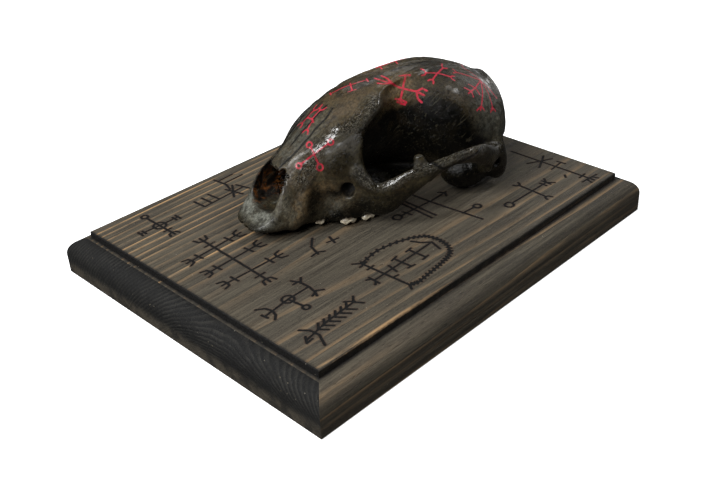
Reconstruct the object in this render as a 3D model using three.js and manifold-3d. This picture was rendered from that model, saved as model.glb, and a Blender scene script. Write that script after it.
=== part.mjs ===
// Raccoon skull on a routed wooden wall plaque.
// Millimetres, +Z up. The plaque lies on its back with its long side and its grain along X, and the
// origin is the centre of the face that goes against the wall. The snout points towards -X.
import * as THREE from 'three';
import { mergeVertices } from 'three/addons/utils/BufferGeometryUtils.js';
import Module from 'manifold-3d';

const wasm = await Module();
wasm.setup();

// Plaque
const PLAQUE_LENGTH = 190;
const PLAQUE_WIDTH = 148;
const PLAQUE_THICKNESS = 19;
const FIELD_INSET = 8;        // from the outer edge in to the flat field
const STEP_DEPTH = 3.1;       // small square step that the routed edge leaves under the field
const BAND_HEIGHT = 8.6;      // plain band under the quarter round
const EDGE_EASE = 0.6;        // bevel round the back face
const ROUND_STEPS = 6;

// Keyhole slot in the back for a screw's head; the plaque hangs with the snout down
const KEYHOLE_X = 62;         // middle of the round entry
const KEYHOLE_ENTRY = 10;     // diameter of the entry and of the room for the screw's head
const KEYHOLE_NECK = 5.2;     // width of the slot in the back face
const KEYHOLE_TRAVEL = 12;    // from the middle of the entry to the middle of the slot's end
const KEYHOLE_LIP = 3;        // wood left on each side of the neck
const KEYHOLE_DEPTH = 9;

// Skull. The tables give a skull of TABLE_LENGTH, which is enlarged to SKULL_LENGTH.
const SKULL_LENGTH = 118;     // front of the upper jaw to the back of the condyles
const TABLE_LENGTH = 115;
const SKULL_X = -47;
const SKULL_Y = 14.7;
const SKULL_LIFT = -0.2;      // the tables put the front teeth's sockets 0.6 above the plaque
const SKULL_TURN = -14;       // degrees, from the plaque's long side
const TOOTH_GAP = 0.3;

// In the skull's frame x runs back from the front of the jaw, y to the skull's right, and z up from the
// plaque. A table is a list of [x, value]. A section is a rounded box that is widest at mid, between low
// and top: half is its half width, and squareTop and squareLow are 2 for an ellipse, more for a box.
const VAULT = {
  top: [[-1, 19], [8, 25.5], [12, 28], [20, 32], [29, 38], [36, 43], [44, 46.8], [53, 49.2], [62, 50.2],
    [72, 50.6], [83, 49.6], [92, 46.9], [100, 43.4], [106, 39.6], [110, 36.6]],
  mid: [[-1, 8], [10, 10], [20, 13], [32, 20], [45, 33], [56, 36], [66, 33], [80, 30], [100, 26], [110, 24]],
  low: [[-1, 2], [4, 0.8], [12, 1.5], [20, 3], [32, 5], [45, 12], [60, 13], [80, 10], [100, 9.5], [110, 13]],
  half: [[-1, 7.5], [4, 11.2], [10, 13.2], [16, 12.6], [24, 12.8], [32, 14], [40, 13.6], [48, 13.4],
    [54, 13.4], [61, 11.8], [68, 15.5], [76, 21.5], [86, 25.5], [96, 25], [103, 23.4], [109, 21]],
  squareTop: [[-1, 2.4], [34, 2.5], [50, 2.7], [66, 2.3], [110, 2.2]],
  squareLow: [[-1, 2.6], [20, 2.6], [40, 2], [110, 2.2]],
  from: -2,
  to: 109,
  roundFront: 3,
  roundBack: 2.5,
};
const PALATE = {
  top: [[-1, 9], [20, 12], [30, 15], [40, 17], [50, 16], [58, 14], [75, 13]],
  mid: [[-1, 5], [30, 8.5], [75, 9]],
  low: [[-1, 2], [4, 0.6], [12, 1.5], [25, 2.6], [34, 3.3], [45, 4], [55, 6.5], [75, 6.5]],
  half: [[-1, 7.5], [5, 11], [10, 12.8], [16, 12.8], [22, 13], [28, 15.6], [34, 18.8], [42, 20.3],
    [49, 19.4], [54, 14], [60, 10], [75, 8.5]],
  squareTop: [[-1, 2.3], [75, 2.3]],
  squareLow: [[-1, 2.8], [20, 3], [29, 5], [50, 5], [60, 3], [75, 2.8]],
  from: -1.5,
  to: 73,
  roundFront: 2.5,
  roundBack: 1.5,
};
// The flare of the upper jaw in front of the eye sockets
const CHEEKS = {
  top: [[17, 24], [24, 30], [30, 35.2], [36, 38.2], [41, 38.2]],
  mid: [[17, 13], [36, 15], [41, 16]],
  low: [[17, 4], [26, 4], [36, 5], [41, 6]],
  half: [[17, 9.6], [23, 12.2], [28, 15.4], [33, 19], [38, 22.2], [41, 24]],
  squareTop: [[17, 2], [30, 2.4], [36, 2.8], [41, 2.6]],
  squareLow: [[17, 2.6], [41, 2.8]],
  from: 17,
  to: 41,
  roundFront: 1,
  roundBack: 1,
};
const NOSE_CAVITY = {
  top: [[-6, 20], [10, 25], [14, 27], [20, 28.5], [34, 33]],
  mid: [[-6, 13], [34, 17]],
  low: [[-6, 9.5], [8, 9], [34, 9]],
  half: [[-6, 7.6], [10, 8.6], [20, 8.6], [34, 7]],
  squareTop: [[-6, 2.2], [34, 2.2]],
  squareLow: [[-6, 2.1], [34, 2.1]],
  from: -6,
  to: 34,
  roundFront: 0.5,
  roundBack: 3,
};

// Bars, for one side of the skull, are lists of [x, y, z, half width, half height]
const ARCH = [[36, 17.2, 12.8, 2.4, 4.4], [43.5, 24.4, 11.6, 2.5, 6.6], [50, 28.2, 15.8, 2.1, 5.3],
  [56, 30.9, 19.8, 1.9, 4.4], [62, 32.8, 22.6, 1.8, 3], [70, 34.3, 25, 1.7, 2.3], [77, 34.6, 25, 1.7, 3],
  [83, 34, 23.6, 1.8, 3.9], [89, 31, 20, 2.8, 4], [94, 25.5, 17, 4.4, 3.8], [97, 19, 16, 5, 3.6]];
const ARCH_PROCESS = [[58.8, 32.1, 19.8, 1.7, 3.6], [57.8, 31.75, 23.6, 1.7, 3], [57, 31.5, 26.2, 1.6, 2.2],
  [56.5, 31.3, 28.4, 1.1, 1.3]];
const EYE_RIM = [[59, 6.4, 43.4, 3, 3], [53, 10, 41.6, 3, 3], [48.5, 12.4, 39.8, 2.8, 3],
  [44.4, 13.6, 37.2, 2.6, 2.8], [40.8, 15, 33.6, 2.4, 2.6], [38.4, 17.7, 28, 2.4, 2.6],
  [38, 20.6, 23, 2.4, 2.6], [39.8, 23, 18.6, 2.4, 2.6], [43.6, 24.9, 15.4, 2.4, 2.4], [50, 28.1, 16.6, 2, 2]];
const EYE_RIM_FACES = [0.3, 0.85, 0.45];
const NECK_PROCESS = [[99, 15, 14, 3.4, 4], [103, 17.6, 9, 3, 3.4], [104.6, 18.6, 4.6, 2, 2.4]];
const NUCHAL_CREST = [[109, -1, 38, 2, 2.1], [108.6, 6, 37.1, 2, 2.1], [107.6, 12, 35.2, 2, 2.1],
  [105.4, 18, 31.6, 2, 2.1], [103, 23, 26, 2.1, 2.1], [101, 25.2, 20.5, 2.2, 2.2], [98.5, 25, 14, 2.4, 2.4]];
const CHEEK_OPENING = [[26, 23.4, 15.6, 2.2, 3.5], [34, 18.4, 16.8, 2.2, 3.4], [43, 16.6, 20, 2.6, 3.2]];

// Lumps and hollows: middle, radii, then pitch (back end up) and turn (back end outwards) in degrees
const EAR_CAPSULE = { at: [90, 15.5, 8.6], radii: [11.5, 9, 8], pitch: 0, turn: -12 };
const MASTOID = { at: [98.5, 23.4, 12], radii: [5, 4.6, 8.6], pitch: 14, turn: 0 };
const CONDYLE = { at: [108.6, 8.5, 14.5], radii: [4.4, 4.2, 5.5], pitch: -20, turn: 0 };
const EYE_SOCKET = { at: [52.5, 32.5, 30], radii: [16.5, 20.5, 13.5], pitch: 12, turn: -8 };
const UNDER_ARCH = { at: [57.5, 26.5, 12], radii: [12, 10.5, 17], pitch: 0, turn: 0 };
const BRAIN_OPENING = { at: [110, 0, 20.5], radii: [16, 7.6, 6.6], pitch: 8, turn: 0 };

// The nose's aperture leans back above this corner, and a ledge of the jaw runs forward below it
const NOSE_CORNER = { x: 5.5, z: 10.8 };
const APERTURE_LEAN = 25;
const LEDGE_SLOPE = 33;
const NOSE_CUT = 60;          // size of the wedge that is cut away

// Crowns: middle, length along the jaw, width across it, and turn (front end inwards) in degrees
const TEETH = {
  premolar_2: { x: 22.6, y: 11.4, length: 4.6, width: 3, turn: 12 },
  premolar_4: { x: 33.2, y: 14.5, length: 7.2, width: 7.4, turn: 12 },
  molar_1: { x: 40.9, y: 15.8, length: 6.8, width: 8.4, turn: 2 },
  molar_2: { x: 47.5, y: 14.8, length: 5, width: 7, turn: -10 },
};
// Rings of a crown from its socket to its cusps: height above the plaque, and size against its outline
const CROWN = [[6.4, 0.75], [3.2, 1], [1.7, 0.96], [0.8, 0.7]];
const CROWN_HOLLOW = 1.7;     // height of the hollow between the cusps

const LOFT_STEP = 7.5;        // between sections
const LOFT_SIDES = 24;
const END_RINGS = 3;
const BAR_SIDES = 8;
const BAR_STEPS = 2;          // rings for each stretch between two points
const LUMP_SIDES = 16;
const CROWN_SIDES = 10;
const CROWN_SQUARENESS = 0.7;  // 1 for an ellipse, less for a squarer crown
const BAR_END_SIZE = 0.6;     // last ring of a bar against its section
const BAR_END_REACH = 0.5;    // how far it stands out, against the half width

/** A closed geometry of rings with the same number of points each, with a fan over each end. */
function skin(rings, firstMiddle = average(rings[0]), lastMiddle = average(rings.at(-1))) {
  const sides = rings[0].length;
  const lastRing = (rings.length - 1) * sides;
  const points = [...rings.flat(), firstMiddle, lastMiddle];
  const faces = [];
  for (let k = 0; k < sides; k += 1) {
    const next = (k + 1) % sides;
    for (let ring = 0; ring < lastRing; ring += sides) {
      faces.push(ring + k, ring + next, ring + sides + next);
      faces.push(ring + k, ring + sides + next, ring + sides + k);
    }
    faces.push(points.length - 2, next, k);
    faces.push(points.length - 1, lastRing + k, lastRing + next);
  }
  const geometry = new THREE.BufferGeometry().setFromPoints(points);
  geometry.setIndex(faces);
  return geometry;
}

function average(points) {
  const middle = new THREE.Vector3();
  points.forEach((point) => middle.addScaledVector(point, 1 / points.length));
  return middle;
}

/** The smooth curve through a table, as a function of x. */
function smooth(table) {
  const first = table[0][0];
  const last = table.at(-1)[0];
  const curve = new THREE.CubicInterpolant(table.map(([x]) => x), table.map(([, value]) => value), 1);
  return (x) => curve.evaluate(THREE.MathUtils.clamp(x, first, last))[0];
}

/** A body of rounded sections along x, with rounded ends. */
function loft(tables) {
  const { from, to, roundFront, roundBack } = tables;
  const [top, mid, low, half, squareTop, squareLow] = ['top', 'mid', 'low', 'half', 'squareTop', 'squareLow']
    .map((name) => smooth(tables[name]));
  const stations = [];
  for (let k = 0; k < END_RINGS; k += 1) {
    const angle = (k + 0.6) / END_RINGS * Math.PI / 2;
    stations.push([from + roundFront * (1 - Math.cos(angle)), Math.sin(angle)]);
  }
  const straight = to - roundBack - from - roundFront;
  const steps = Math.ceil(straight / LOFT_STEP);
  for (let k = 0; k <= steps; k += 1) {
    stations.push([from + roundFront + straight * k / steps, 1]);
  }
  for (let k = END_RINGS - 1; k >= 0; k -= 1) {
    const angle = (k + 0.6) / END_RINGS * Math.PI / 2;
    stations.push([to - roundBack * (1 - Math.cos(angle)), Math.sin(angle)]);
  }
  return skin(stations.map(([x, size]) => {
    const middle = (top(x) + low(x)) / 2;
    const ring = [];
    for (let k = 0; k < LOFT_SIDES; k += 1) {
      const angle = k / LOFT_SIDES * Math.PI * 2;
      const upper = Math.sin(angle) >= 0;
      const power = 2 / (upper ? squareTop(x) : squareLow(x));
      const reach = upper ? top(x) - mid(x) : mid(x) - low(x);
      const y = half(x) * Math.sign(Math.cos(angle)) * Math.abs(Math.cos(angle)) ** power;
      const z = mid(x) + reach * Math.sign(Math.sin(angle)) * Math.abs(Math.sin(angle)) ** power;
      ring.push(new THREE.Vector3(x, y * size, middle + (z - middle) * size));
    }
    return ring;
  }));
}

/** A bar with an elliptical section that follows a smooth path, its height towards faces. */
function bar(path, faces = [0, 0, 1]) {
  const outward = new THREE.Vector3(...faces);
  const curve = new THREE.CatmullRomCurve3(path.map(([x, y, z]) => new THREE.Vector3(x, y, z)));
  const spans = path.length - 1;
  const wide = smooth(path.map((row, k) => [k, row[3]]));
  const tall = smooth(path.map((row, k) => [k, row[4]]));
  const ringAt = (along, size, push) => {
    const forward = curve.getTangent(along / spans);
    const side = new THREE.Vector3().crossVectors(outward, forward).normalize();
    const up = new THREE.Vector3().crossVectors(forward, side);
    const middle = curve.getPoint(along / spans).addScaledVector(forward, push);
    const ring = [];
    for (let k = 0; k < BAR_SIDES; k += 1) {
      const angle = k / BAR_SIDES * Math.PI * 2;
      ring.push(middle.clone()
        .addScaledVector(side, Math.cos(angle) * wide(along) * size)
        .addScaledVector(up, Math.sin(angle) * tall(along) * size));
    }
    return ring;
  };
  const rings = [ringAt(0, BAR_END_SIZE, -BAR_END_REACH * wide(0))];
  for (let k = 0; k <= spans * BAR_STEPS; k += 1) {
    rings.push(ringAt(k / BAR_STEPS, 1, 0));
  }
  rings.push(ringAt(spans, BAR_END_SIZE, BAR_END_REACH * wide(spans)));
  return skin(rings);
}

/** A squashed ball, pitched and turned about its own middle. */
function lump({ at, radii, pitch, turn }) {
  const geometry = new THREE.SphereGeometry(1, LUMP_SIDES, LUMP_SIDES / 2);
  geometry.rotateX(Math.PI / 2);
  geometry.scale(...radii);
  geometry.rotateY(-THREE.MathUtils.degToRad(pitch));
  geometry.rotateZ(THREE.MathUtils.degToRad(turn));
  geometry.translate(...at);
  return geometry;
}

/** The same geometry on the other side of the skull. */
function mirrored(geometry) {
  const copy = geometry.clone().scale(1, -1, 1);
  const index = copy.index.array;
  for (let k = 0; k < index.length; k += 3) {
    [index[k], index[k + 1]] = [index[k + 1], index[k]];
  }
  return copy;
}

const bothSides = (geometry) => [geometry, mirrored(geometry)];

/** A solid for joining and cutting, from a closed geometry. */
function solid(geometry) {
  const bare = geometry.clone();
  bare.deleteAttribute('normal');
  bare.deleteAttribute('uv');
  const merged = mergeVertices(bare, 1e-4);
  return new wasm.Manifold(new wasm.Mesh({
    numProp: 3,
    vertProperties: new Float32Array(merged.attributes.position.array),
    triVerts: new Uint32Array(merged.index.array),
  }));
}

const join = (geometries) => geometries.map(solid).reduce((whole, piece) => whole.add(piece));
const cut = (whole, geometries) => geometries.map(solid).reduce((rest, piece) => rest.subtract(piece), whole);

/** A geometry again, from a joined or cut solid. */
function geometryOf(whole) {
  const { vertProperties, triVerts } = whole.getMesh();
  const geometry = new THREE.BufferGeometry();
  geometry.setAttribute('position', new THREE.BufferAttribute(new Float32Array(vertProperties), 3));
  geometry.setIndex(new THREE.BufferAttribute(new Uint32Array(triVerts), 1));
  geometry.computeVertexNormals();
  return geometry;
}

/** The wedge in front of the nose: it leaves the aperture's slope and the jaw's ledge. */
function noseWedge() {
  const lean = THREE.MathUtils.degToRad(APERTURE_LEAN);
  const slope = THREE.MathUtils.degToRad(LEDGE_SLOPE);
  const { x, z } = NOSE_CORNER;
  const outline = new THREE.Shape([
    new THREE.Vector2(x, z),
    new THREE.Vector2(x + NOSE_CUT * Math.sin(lean), z + NOSE_CUT * Math.cos(lean)),
    new THREE.Vector2(x - NOSE_CUT, z + NOSE_CUT * Math.cos(lean)),
    new THREE.Vector2(x - NOSE_CUT * Math.cos(slope), z - NOSE_CUT * Math.sin(slope)),
  ]);
  const wedge = new THREE.ExtrudeGeometry(outline, { depth: NOSE_CUT, bevelEnabled: false });
  wedge.translate(0, 0, -NOSE_CUT / 2);
  return wedge.rotateX(Math.PI / 2);
}

/** One tooth's crown, larger all round by a clearance where it makes the socket. */
function crown({ x, y, length, width, turn }, side, clearance = 0) {
  const rings = CROWN.map(([z, size], number) => {
    const level = number === 0 ? z + clearance : z;
    const ring = [];
    for (let k = 0; k < CROWN_SIDES; k += 1) {
      const angle = -k / CROWN_SIDES * Math.PI * 2;
      const along = Math.sign(Math.cos(angle)) * Math.abs(Math.cos(angle)) ** CROWN_SQUARENESS;
      const across = Math.sign(Math.sin(angle)) * Math.abs(Math.sin(angle)) ** CROWN_SQUARENESS;
      ring.push(new THREE.Vector3(
        along * (length / 2 * size + clearance),
        across * (width / 2 * size + clearance),
        level,
      ));
    }
    return ring;
  });
  const geometry = skin(rings, undefined, new THREE.Vector3(0, 0, CROWN_HOLLOW));
  geometry.rotateZ(THREE.MathUtils.degToRad(turn));
  geometry.translate(x, y, 0);
  return side === 'right' ? geometry : mirrored(geometry);
}

function cranium() {
  const bone = join([VAULT, PALATE, CHEEKS].map(loft));
  const hollows = [EYE_SOCKET, UNDER_ARCH].flatMap((hollow) => bothSides(lump(hollow)));
  const bars = [ARCH, ARCH_PROCESS, NECK_PROCESS, NUCHAL_CREST].map((path) => bar(path));
  const rim = bar(EYE_RIM, EYE_RIM_FACES);
  const lumps = [EAR_CAPSULE, MASTOID, CONDYLE].map(lump);
  const whole = cut(bone, hollows).add(join([...bars, rim, ...lumps].flatMap(bothSides)));
  const sockets = Object.values(TEETH).flatMap((tooth) => [
    crown(tooth, 'left', TOOTH_GAP),
    crown(tooth, 'right', TOOTH_GAP),
  ]);
  return geometryOf(cut(whole, [
    noseWedge(),
    loft(NOSE_CAVITY),
    lump(BRAIN_OPENING),
    ...bothSides(bar(CHEEK_OPENING)),
    ...sockets,
  ]));
}

/** A rectangle of the plaque's outline, moved in by inset. */
function outline(inset, z) {
  const x = PLAQUE_LENGTH / 2 - inset;
  const y = PLAQUE_WIDTH / 2 - inset;
  return [[x, -y], [x, y], [-x, y], [-x, -y]].map((corner) => new THREE.Vector3(...corner, z));
}

/** The slot that a screw's head slides in: a round entry, a narrow neck, and a wide space behind it. */
function keyhole() {
  const round = (diameter, bottom, top, x) => new THREE
    .CylinderGeometry(diameter / 2, diameter / 2, top - bottom, 24)
    .rotateX(Math.PI / 2)
    .translate(x, 0, (bottom + top) / 2);
  const channel = (width, bottom, top) => [
    new THREE.BoxGeometry(KEYHOLE_TRAVEL, width, top - bottom)
      .translate(KEYHOLE_X + KEYHOLE_TRAVEL / 2, 0, (bottom + top) / 2),
    round(width, bottom, top, KEYHOLE_X + KEYHOLE_TRAVEL),
  ];
  return [
    round(KEYHOLE_ENTRY, -1, KEYHOLE_DEPTH, KEYHOLE_X),
    ...channel(KEYHOLE_NECK, -1, KEYHOLE_LIP + 1),
    ...channel(KEYHOLE_ENTRY, KEYHOLE_LIP, KEYHOLE_DEPTH),
  ];
}

function plaque() {
  const roundHeight = PLAQUE_THICKNESS - STEP_DEPTH - BAND_HEIGHT;
  const loops = [outline(EDGE_EASE, 0), outline(0, EDGE_EASE), outline(0, BAND_HEIGHT)];
  for (let k = 1; k <= ROUND_STEPS; k += 1) {
    const angle = k / ROUND_STEPS * Math.PI / 2;
    loops.push(outline(FIELD_INSET * (1 - Math.cos(angle)), BAND_HEIGHT + roundHeight * Math.sin(angle)));
  }
  loops.push(outline(FIELD_INSET, PLAQUE_THICKNESS));
  return geometryOf(cut(solid(skin(loops)), keyhole()));
}

function named(name, geometry, color, roughness) {
  const mesh = new THREE.Mesh(geometry, new THREE.MeshStandardMaterial({ color, roughness, metalness: 0 }));
  mesh.name = name;
  return mesh;
}

const skull = new THREE.Group();
skull.add(named('cranium', cranium(), '#3b342a', 0.3));
for (const side of ['left', 'right']) {
  for (const [tooth, size] of Object.entries(TEETH)) {
    skull.add(named(`${side}_${tooth}`, crown(size, side), '#b9ae94', 0.35));
  }
}
const growth = SKULL_LENGTH / TABLE_LENGTH;
skull.children.forEach((piece) => piece.geometry.scale(growth, growth, growth));
skull.position.set(SKULL_X, SKULL_Y, PLAQUE_THICKNESS + SKULL_LIFT);
skull.rotation.z = THREE.MathUtils.degToRad(SKULL_TURN);

const object = new THREE.Group();
object.add(named('plaque', plaque(), '#5a4a3a', 0.6), skull);

export default object;
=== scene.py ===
import math

import bmesh
import bpy
import numpy as np
from mathutils import Euler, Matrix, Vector


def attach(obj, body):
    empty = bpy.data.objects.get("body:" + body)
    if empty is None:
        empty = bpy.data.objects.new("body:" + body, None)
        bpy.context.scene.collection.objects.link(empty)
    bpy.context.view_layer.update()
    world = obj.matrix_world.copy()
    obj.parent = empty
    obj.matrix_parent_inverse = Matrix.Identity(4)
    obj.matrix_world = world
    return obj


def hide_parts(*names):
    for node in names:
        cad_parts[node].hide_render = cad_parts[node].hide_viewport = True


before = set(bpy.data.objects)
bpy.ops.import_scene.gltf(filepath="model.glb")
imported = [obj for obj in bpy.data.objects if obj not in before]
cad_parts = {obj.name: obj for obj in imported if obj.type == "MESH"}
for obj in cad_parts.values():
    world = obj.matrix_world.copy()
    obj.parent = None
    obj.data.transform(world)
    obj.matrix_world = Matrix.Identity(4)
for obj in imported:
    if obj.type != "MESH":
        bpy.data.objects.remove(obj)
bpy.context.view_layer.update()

scene = bpy.context.scene
scene.view_settings.view_transform = "Standard"
MM = 0.001


# Camera

LENS = 47.8
SENSOR_WIDTH = 36
CAMERA_PLACE = (-0.2406, -0.2446, 0.2106)
CAMERA_TURN = (58.467, 2.404, -45.832)


def add_camera():
    data = bpy.data.cameras.new("camera")
    data.lens = LENS
    data.sensor_width = SENSOR_WIDTH
    data.clip_start = 0.01
    data.clip_end = 20
    camera = bpy.data.objects.new("camera", data)
    camera.location = CAMERA_PLACE
    camera.rotation_euler = Euler([math.radians(a) for a in CAMERA_TURN])
    scene.collection.objects.link(camera)
    scene.camera = camera


add_camera()


# Sizes of the plaque, in millimetres

PLAQUE_LENGTH = 190
PLAQUE_WIDTH = 148
PLAQUE_THICKNESS = 19
FIELD_INSET = 8
STEP_DEPTH = 3.1
BAND_HEIGHT = 8.6
EDGE_EASE = 0.6
RIM_EASE = 0.35
KEYHOLE_X = 62
KEYHOLE_ENTRY = 10
KEYHOLE_NECK = 5.2
KEYHOLE_TRAVEL = 12
KEYHOLE_LIP = 3
KEYHOLE_DEPTH = 9

# Where the skull lies on the plaque

SKULL_X = -47
SKULL_Y = 14.7
SKULL_LIFT = -0.2
SKULL_TURN = math.radians(-14)
SKULL_SCALE = 118 / 115

# Sizes of the skull, in its own millimetres
# x runs back from the front of the upper jaw, y to the skull's right, z up
# The sections give the height of the top, of the widest place and of the underside, half the width,
# and how square the section is above and below its widest place

VAULT = {
    "top": [
        (-1, 18), (8, 22.9), (12, 25.3), (16, 28.2), (20, 31.2), (29, 37.8), (36, 43), (44, 46.8),
        (53, 49.2), (62, 50.2), (72, 50.6), (83, 49.6), (92, 46.9), (100, 43.6), (106, 40.2), (110, 37.4)],
    "mid": [
        (-1, 6.6), (10, 7.6), (20, 11), (32, 19), (45, 33), (56, 35), (66, 31), (80, 25.5), (100, 22.5),
        (110, 23)],
    "low": [
        (-1, 4.6), (4, 3.6), (12, 3), (20, 2.6), (32, 4), (45, 12), (60, 13), (80, 10), (100, 9.5),
        (110, 13)],
    "half": [
        (-1, 7.5), (4, 11), (10, 12.9), (16, 12.6), (24, 12.8), (32, 14), (40, 13.6), (48, 13.4),
        (54, 13.4), (61, 11.8), (68, 15.5), (76, 21.5), (86, 25.5), (96, 24.8), (103, 22.4), (109, 19.5)],
    "square_top": [(-1, 2.2), (12, 2.3), (24, 2.4), (34, 2.5), (50, 2.7), (66, 2.4), (110, 2.3)],
    "square_low": [(-1, 2.2), (12, 2.2), (20, 2.6), (40, 2), (110, 2.2)],
    "ends": (-2, 109),
    "rounds": (3.5, 4)}
PALATE = {
    "top": [(-1, 9), (20, 12), (30, 15), (40, 17), (50, 16), (58, 14), (75, 13)],
    "mid": [(-1, 6.6), (12, 7.2), (30, 8.5), (75, 9)],
    "low": [(-1, 4.6), (4, 3.6), (12, 2.8), (25, 1.7), (34, 1.8), (45, 2.8), (55, 5.6), (75, 6.5)],
    "half": [
        (-1, 7.5), (5, 10.6), (10, 12), (16, 12.5), (22, 13), (28, 15.6), (34, 18.8), (42, 20.3),
        (49, 19.4), (54, 14), (60, 10), (75, 8.5)],
    "square_top": [(-1, 2.3), (75, 2.3)],
    "square_low": [(-1, 2.3), (14, 2.3), (20, 2.9), (29, 5), (50, 5), (60, 3), (75, 2.8)],
    "ends": (-1.5, 73),
    "rounds": (3.5, 2)}
CHEEKS = {
    "top": [(17, 25.5), (24, 33), (30, 37.2), (36, 40.5), (41, 41.5)],
    "mid": [(17, 15), (24, 20), (30, 20.5), (36, 18), (41, 16)],
    "low": [(17, 4), (26, 4), (36, 5), (41, 6)],
    "half": [(17, 9.6), (23, 13.4), (28, 17), (33, 19.4), (38, 22), (41, 23.8)],
    "square_top": [(17, 2), (24, 2.6), (30, 3), (41, 3)],
    "square_low": [(17, 2.4), (41, 2.8)],
    "ends": (17, 41), "rounds": (1.5, 1.5)}
NOSE_CAVITY = {
    "top": [(-6, 18.6), (10, 23.5), (14, 25.4), (20, 27.6), (34, 32.5)],
    "mid": [(-6, 13), (34, 17)],
    "low": [(-6, 11), (6, 10), (10, 8.8), (34, 8.4)],
    "half": [(-6, 8.2), (4, 8.8), (10, 9.4), (20, 9), (34, 7)],
    "square_top": [(-6, 3), (12, 3.1), (34, 2.4)],
    "square_low": [(-6, 2.1), (34, 2.1)],
    "ends": (-6, 34), "rounds": (0.5, 3)}

# Bars are lists of (x, y, z, half width, half height)

ARCH = [
    (36, 17.2, 12.8, 2.4, 4.4), (43.5, 24.4, 11.6, 2.5, 6.6), (50, 28.2, 15.8, 2.1, 5.3),
    (56, 30.9, 19.8, 1.9, 4.4), (62, 32.8, 22.6, 1.8, 3), (70, 34.3, 25, 1.7, 2.3), (77, 34.6, 25, 1.7, 3),
    (83, 34, 23.6, 1.8, 3.9), (89, 31, 20, 2.8, 4), (94, 25.5, 17, 4.4, 3.8), (97, 19, 16, 5, 3.6)]
ARCH_PROCESS = [
    (58.8, 32.1, 19.8, 1.7, 3.6), (57.8, 31.75, 23.6, 1.6, 2.8), (57, 31.5, 26.2, 1.7, 2.4),
    (56.5, 31.3, 28.1, 1.5, 1.9)]
EYE_RIM = [
    (59, 6.6, 42.8, 2.2, 2.2), (53, 10.4, 43, 2.2, 2.2), (48.5, 12.8, 41.4, 2.2, 2.3),
    (44.4, 14.3, 39, 2.1, 2.2), (40.8, 15.8, 35.2, 1.9, 2.1), (38.4, 18.4, 28.6, 1.8, 2),
    (38, 21, 23.2, 1.8, 1.9), (39.8, 23.6, 18.6, 1.8, 1.8), (43.6, 25.6, 15.8, 1.7, 1.8),
    (50, 28.4, 17.4, 1.6, 1.7)]
TEMPLE_LINE = [
    (51.5, 12.4, 43.4, 0.9, 0.9), (54.5, 9.2, 46.6, 0.7, 0.7), (62, 7.2, 49.2, 0.6, 0.6),
    (80, 5, 49.8, 0.6, 0.6), (96, 2.6, 45.2, 0.6, 0.6), (107, 0.6, 39.4, 0.7, 0.7)]
EAR_TUBE = [(91, 18, 12, 3.6, 3.6), (93.2, 27.2, 14.2, 3.3, 3.3)]
JAW_STOP = [(88.5, 20, 11.5, 1.4, 2.2), (88.2, 27, 13.6, 1.5, 2.6), (88.6, 31.5, 16, 1.4, 2.4)]
NECK_PROCESS = [(99, 15, 14, 3.4, 4), (103, 17.6, 9, 2.8, 3.2), (104.6, 18.6, 4.6, 1.8, 2.2)]
NUCHAL_CREST = [
    (109.4, 0, 38.4, 1.4, 1.4), (108.6, 6, 37.4, 1.3, 1.3), (106.8, 11.6, 35, 1.3, 1.3),
    (104, 16.6, 31.4, 1.3, 1.3), (101.2, 21, 26, 1.3, 1.4), (99.8, 23.7, 20.5, 1.5, 1.6),
    (98.5, 25, 14, 2.2, 2.2)]
NECK_RIDGE = [(109, 0, 37, 1, 1), (111, 0, 31.5, 0.9, 0.9), (110.8, 0, 27.5, 1, 1)]
PALATE_WING = [
    (58, 8.2, 7.5, 1.2, 3), (66, 7.4, 7.2, 1, 3.4), (72, 6.6, 6.6, 0.9, 2.6), (75.5, 6.6, 4.6, 0.9, 1)]
CANINE_ROOT = [
    (13.2, 10.4, 6.3, 3, 3), (15.8, 11.1, 10, 3.1, 3.1), (18.6, 11, 15.5, 2.6, 2.6),
    (21.6, 10.6, 20.5, 1.9, 1.9)]
CHEEK_OPENING = [(26, 23.4, 15.6, 2.2, 3.5), (34, 18.4, 16.8, 2.1, 3.3), (43, 16.6, 20, 2.6, 3.2)]

# Lumps are (middle, radii, pitch, turn)

EYE_SOCKET = ((52.5, 32.5, 30), (16.5, 20.5, 13.5), 12, -8)
UNDER_ARCH = ((57.5, 26.5, 12), (12, 10.5, 17), 0, 0)
EAR_CAPSULE = ((90, 15.5, 8.6), (11.5, 9, 8), 0, -12)
MASTOID = ((98.5, 23.4, 12), (5, 4.6, 8.6), 14, 0)
CONDYLE = ((108.6, 8.5, 14.5), (4.4, 4.2, 5.5), -20, 0)
BRAIN_OPENING = ((110, 0, 20.5), (16, 7.6, 6.6), 8, 0)
CANINE_HOLLOW = ((25.6, 17.6, 11), (4.4, 4.3, 6.2), -14, -12)
NOSE_CORNER = (5.5, 10.8)
APERTURE_LEAN = math.radians(25)
LEDGE_SLOPE = math.radians(33)
BROW_HOLLOW = ((57.5, 18.8, 36), (9, 6.6, 8), 0, 0)
EAR_HOLE = ((94.6, 31.5, 14.6), (2.2, 5.2, 2.2), 0, 0)
THROAT_HOLLOW = ((69.5, 0, 8.2), (9, 5.4, 3.2), 0, 0)
PALATE_HOLLOW = ((40, 0, 2), (24, 8.5, 2.2), 0, 0)
INCISOR_PLACES = [(-0.5, 1.9, 3.6), (0.2, 4.7, 3.4), (1.5, 7.3, 3.2)]
CANINE_SOCKET = ((8.6, 9.7, 2.2), (2.9, 2.1, 4.6), -24, 0)
FIRST_SOCKET = ((17.4, 11.5, 2.2), (1.1, 1, 3), 0, 0)
THIRD_SOCKETS = [(26.4, 13.4, 2.6), (28.4, 13.4, 2.6)]
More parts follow.
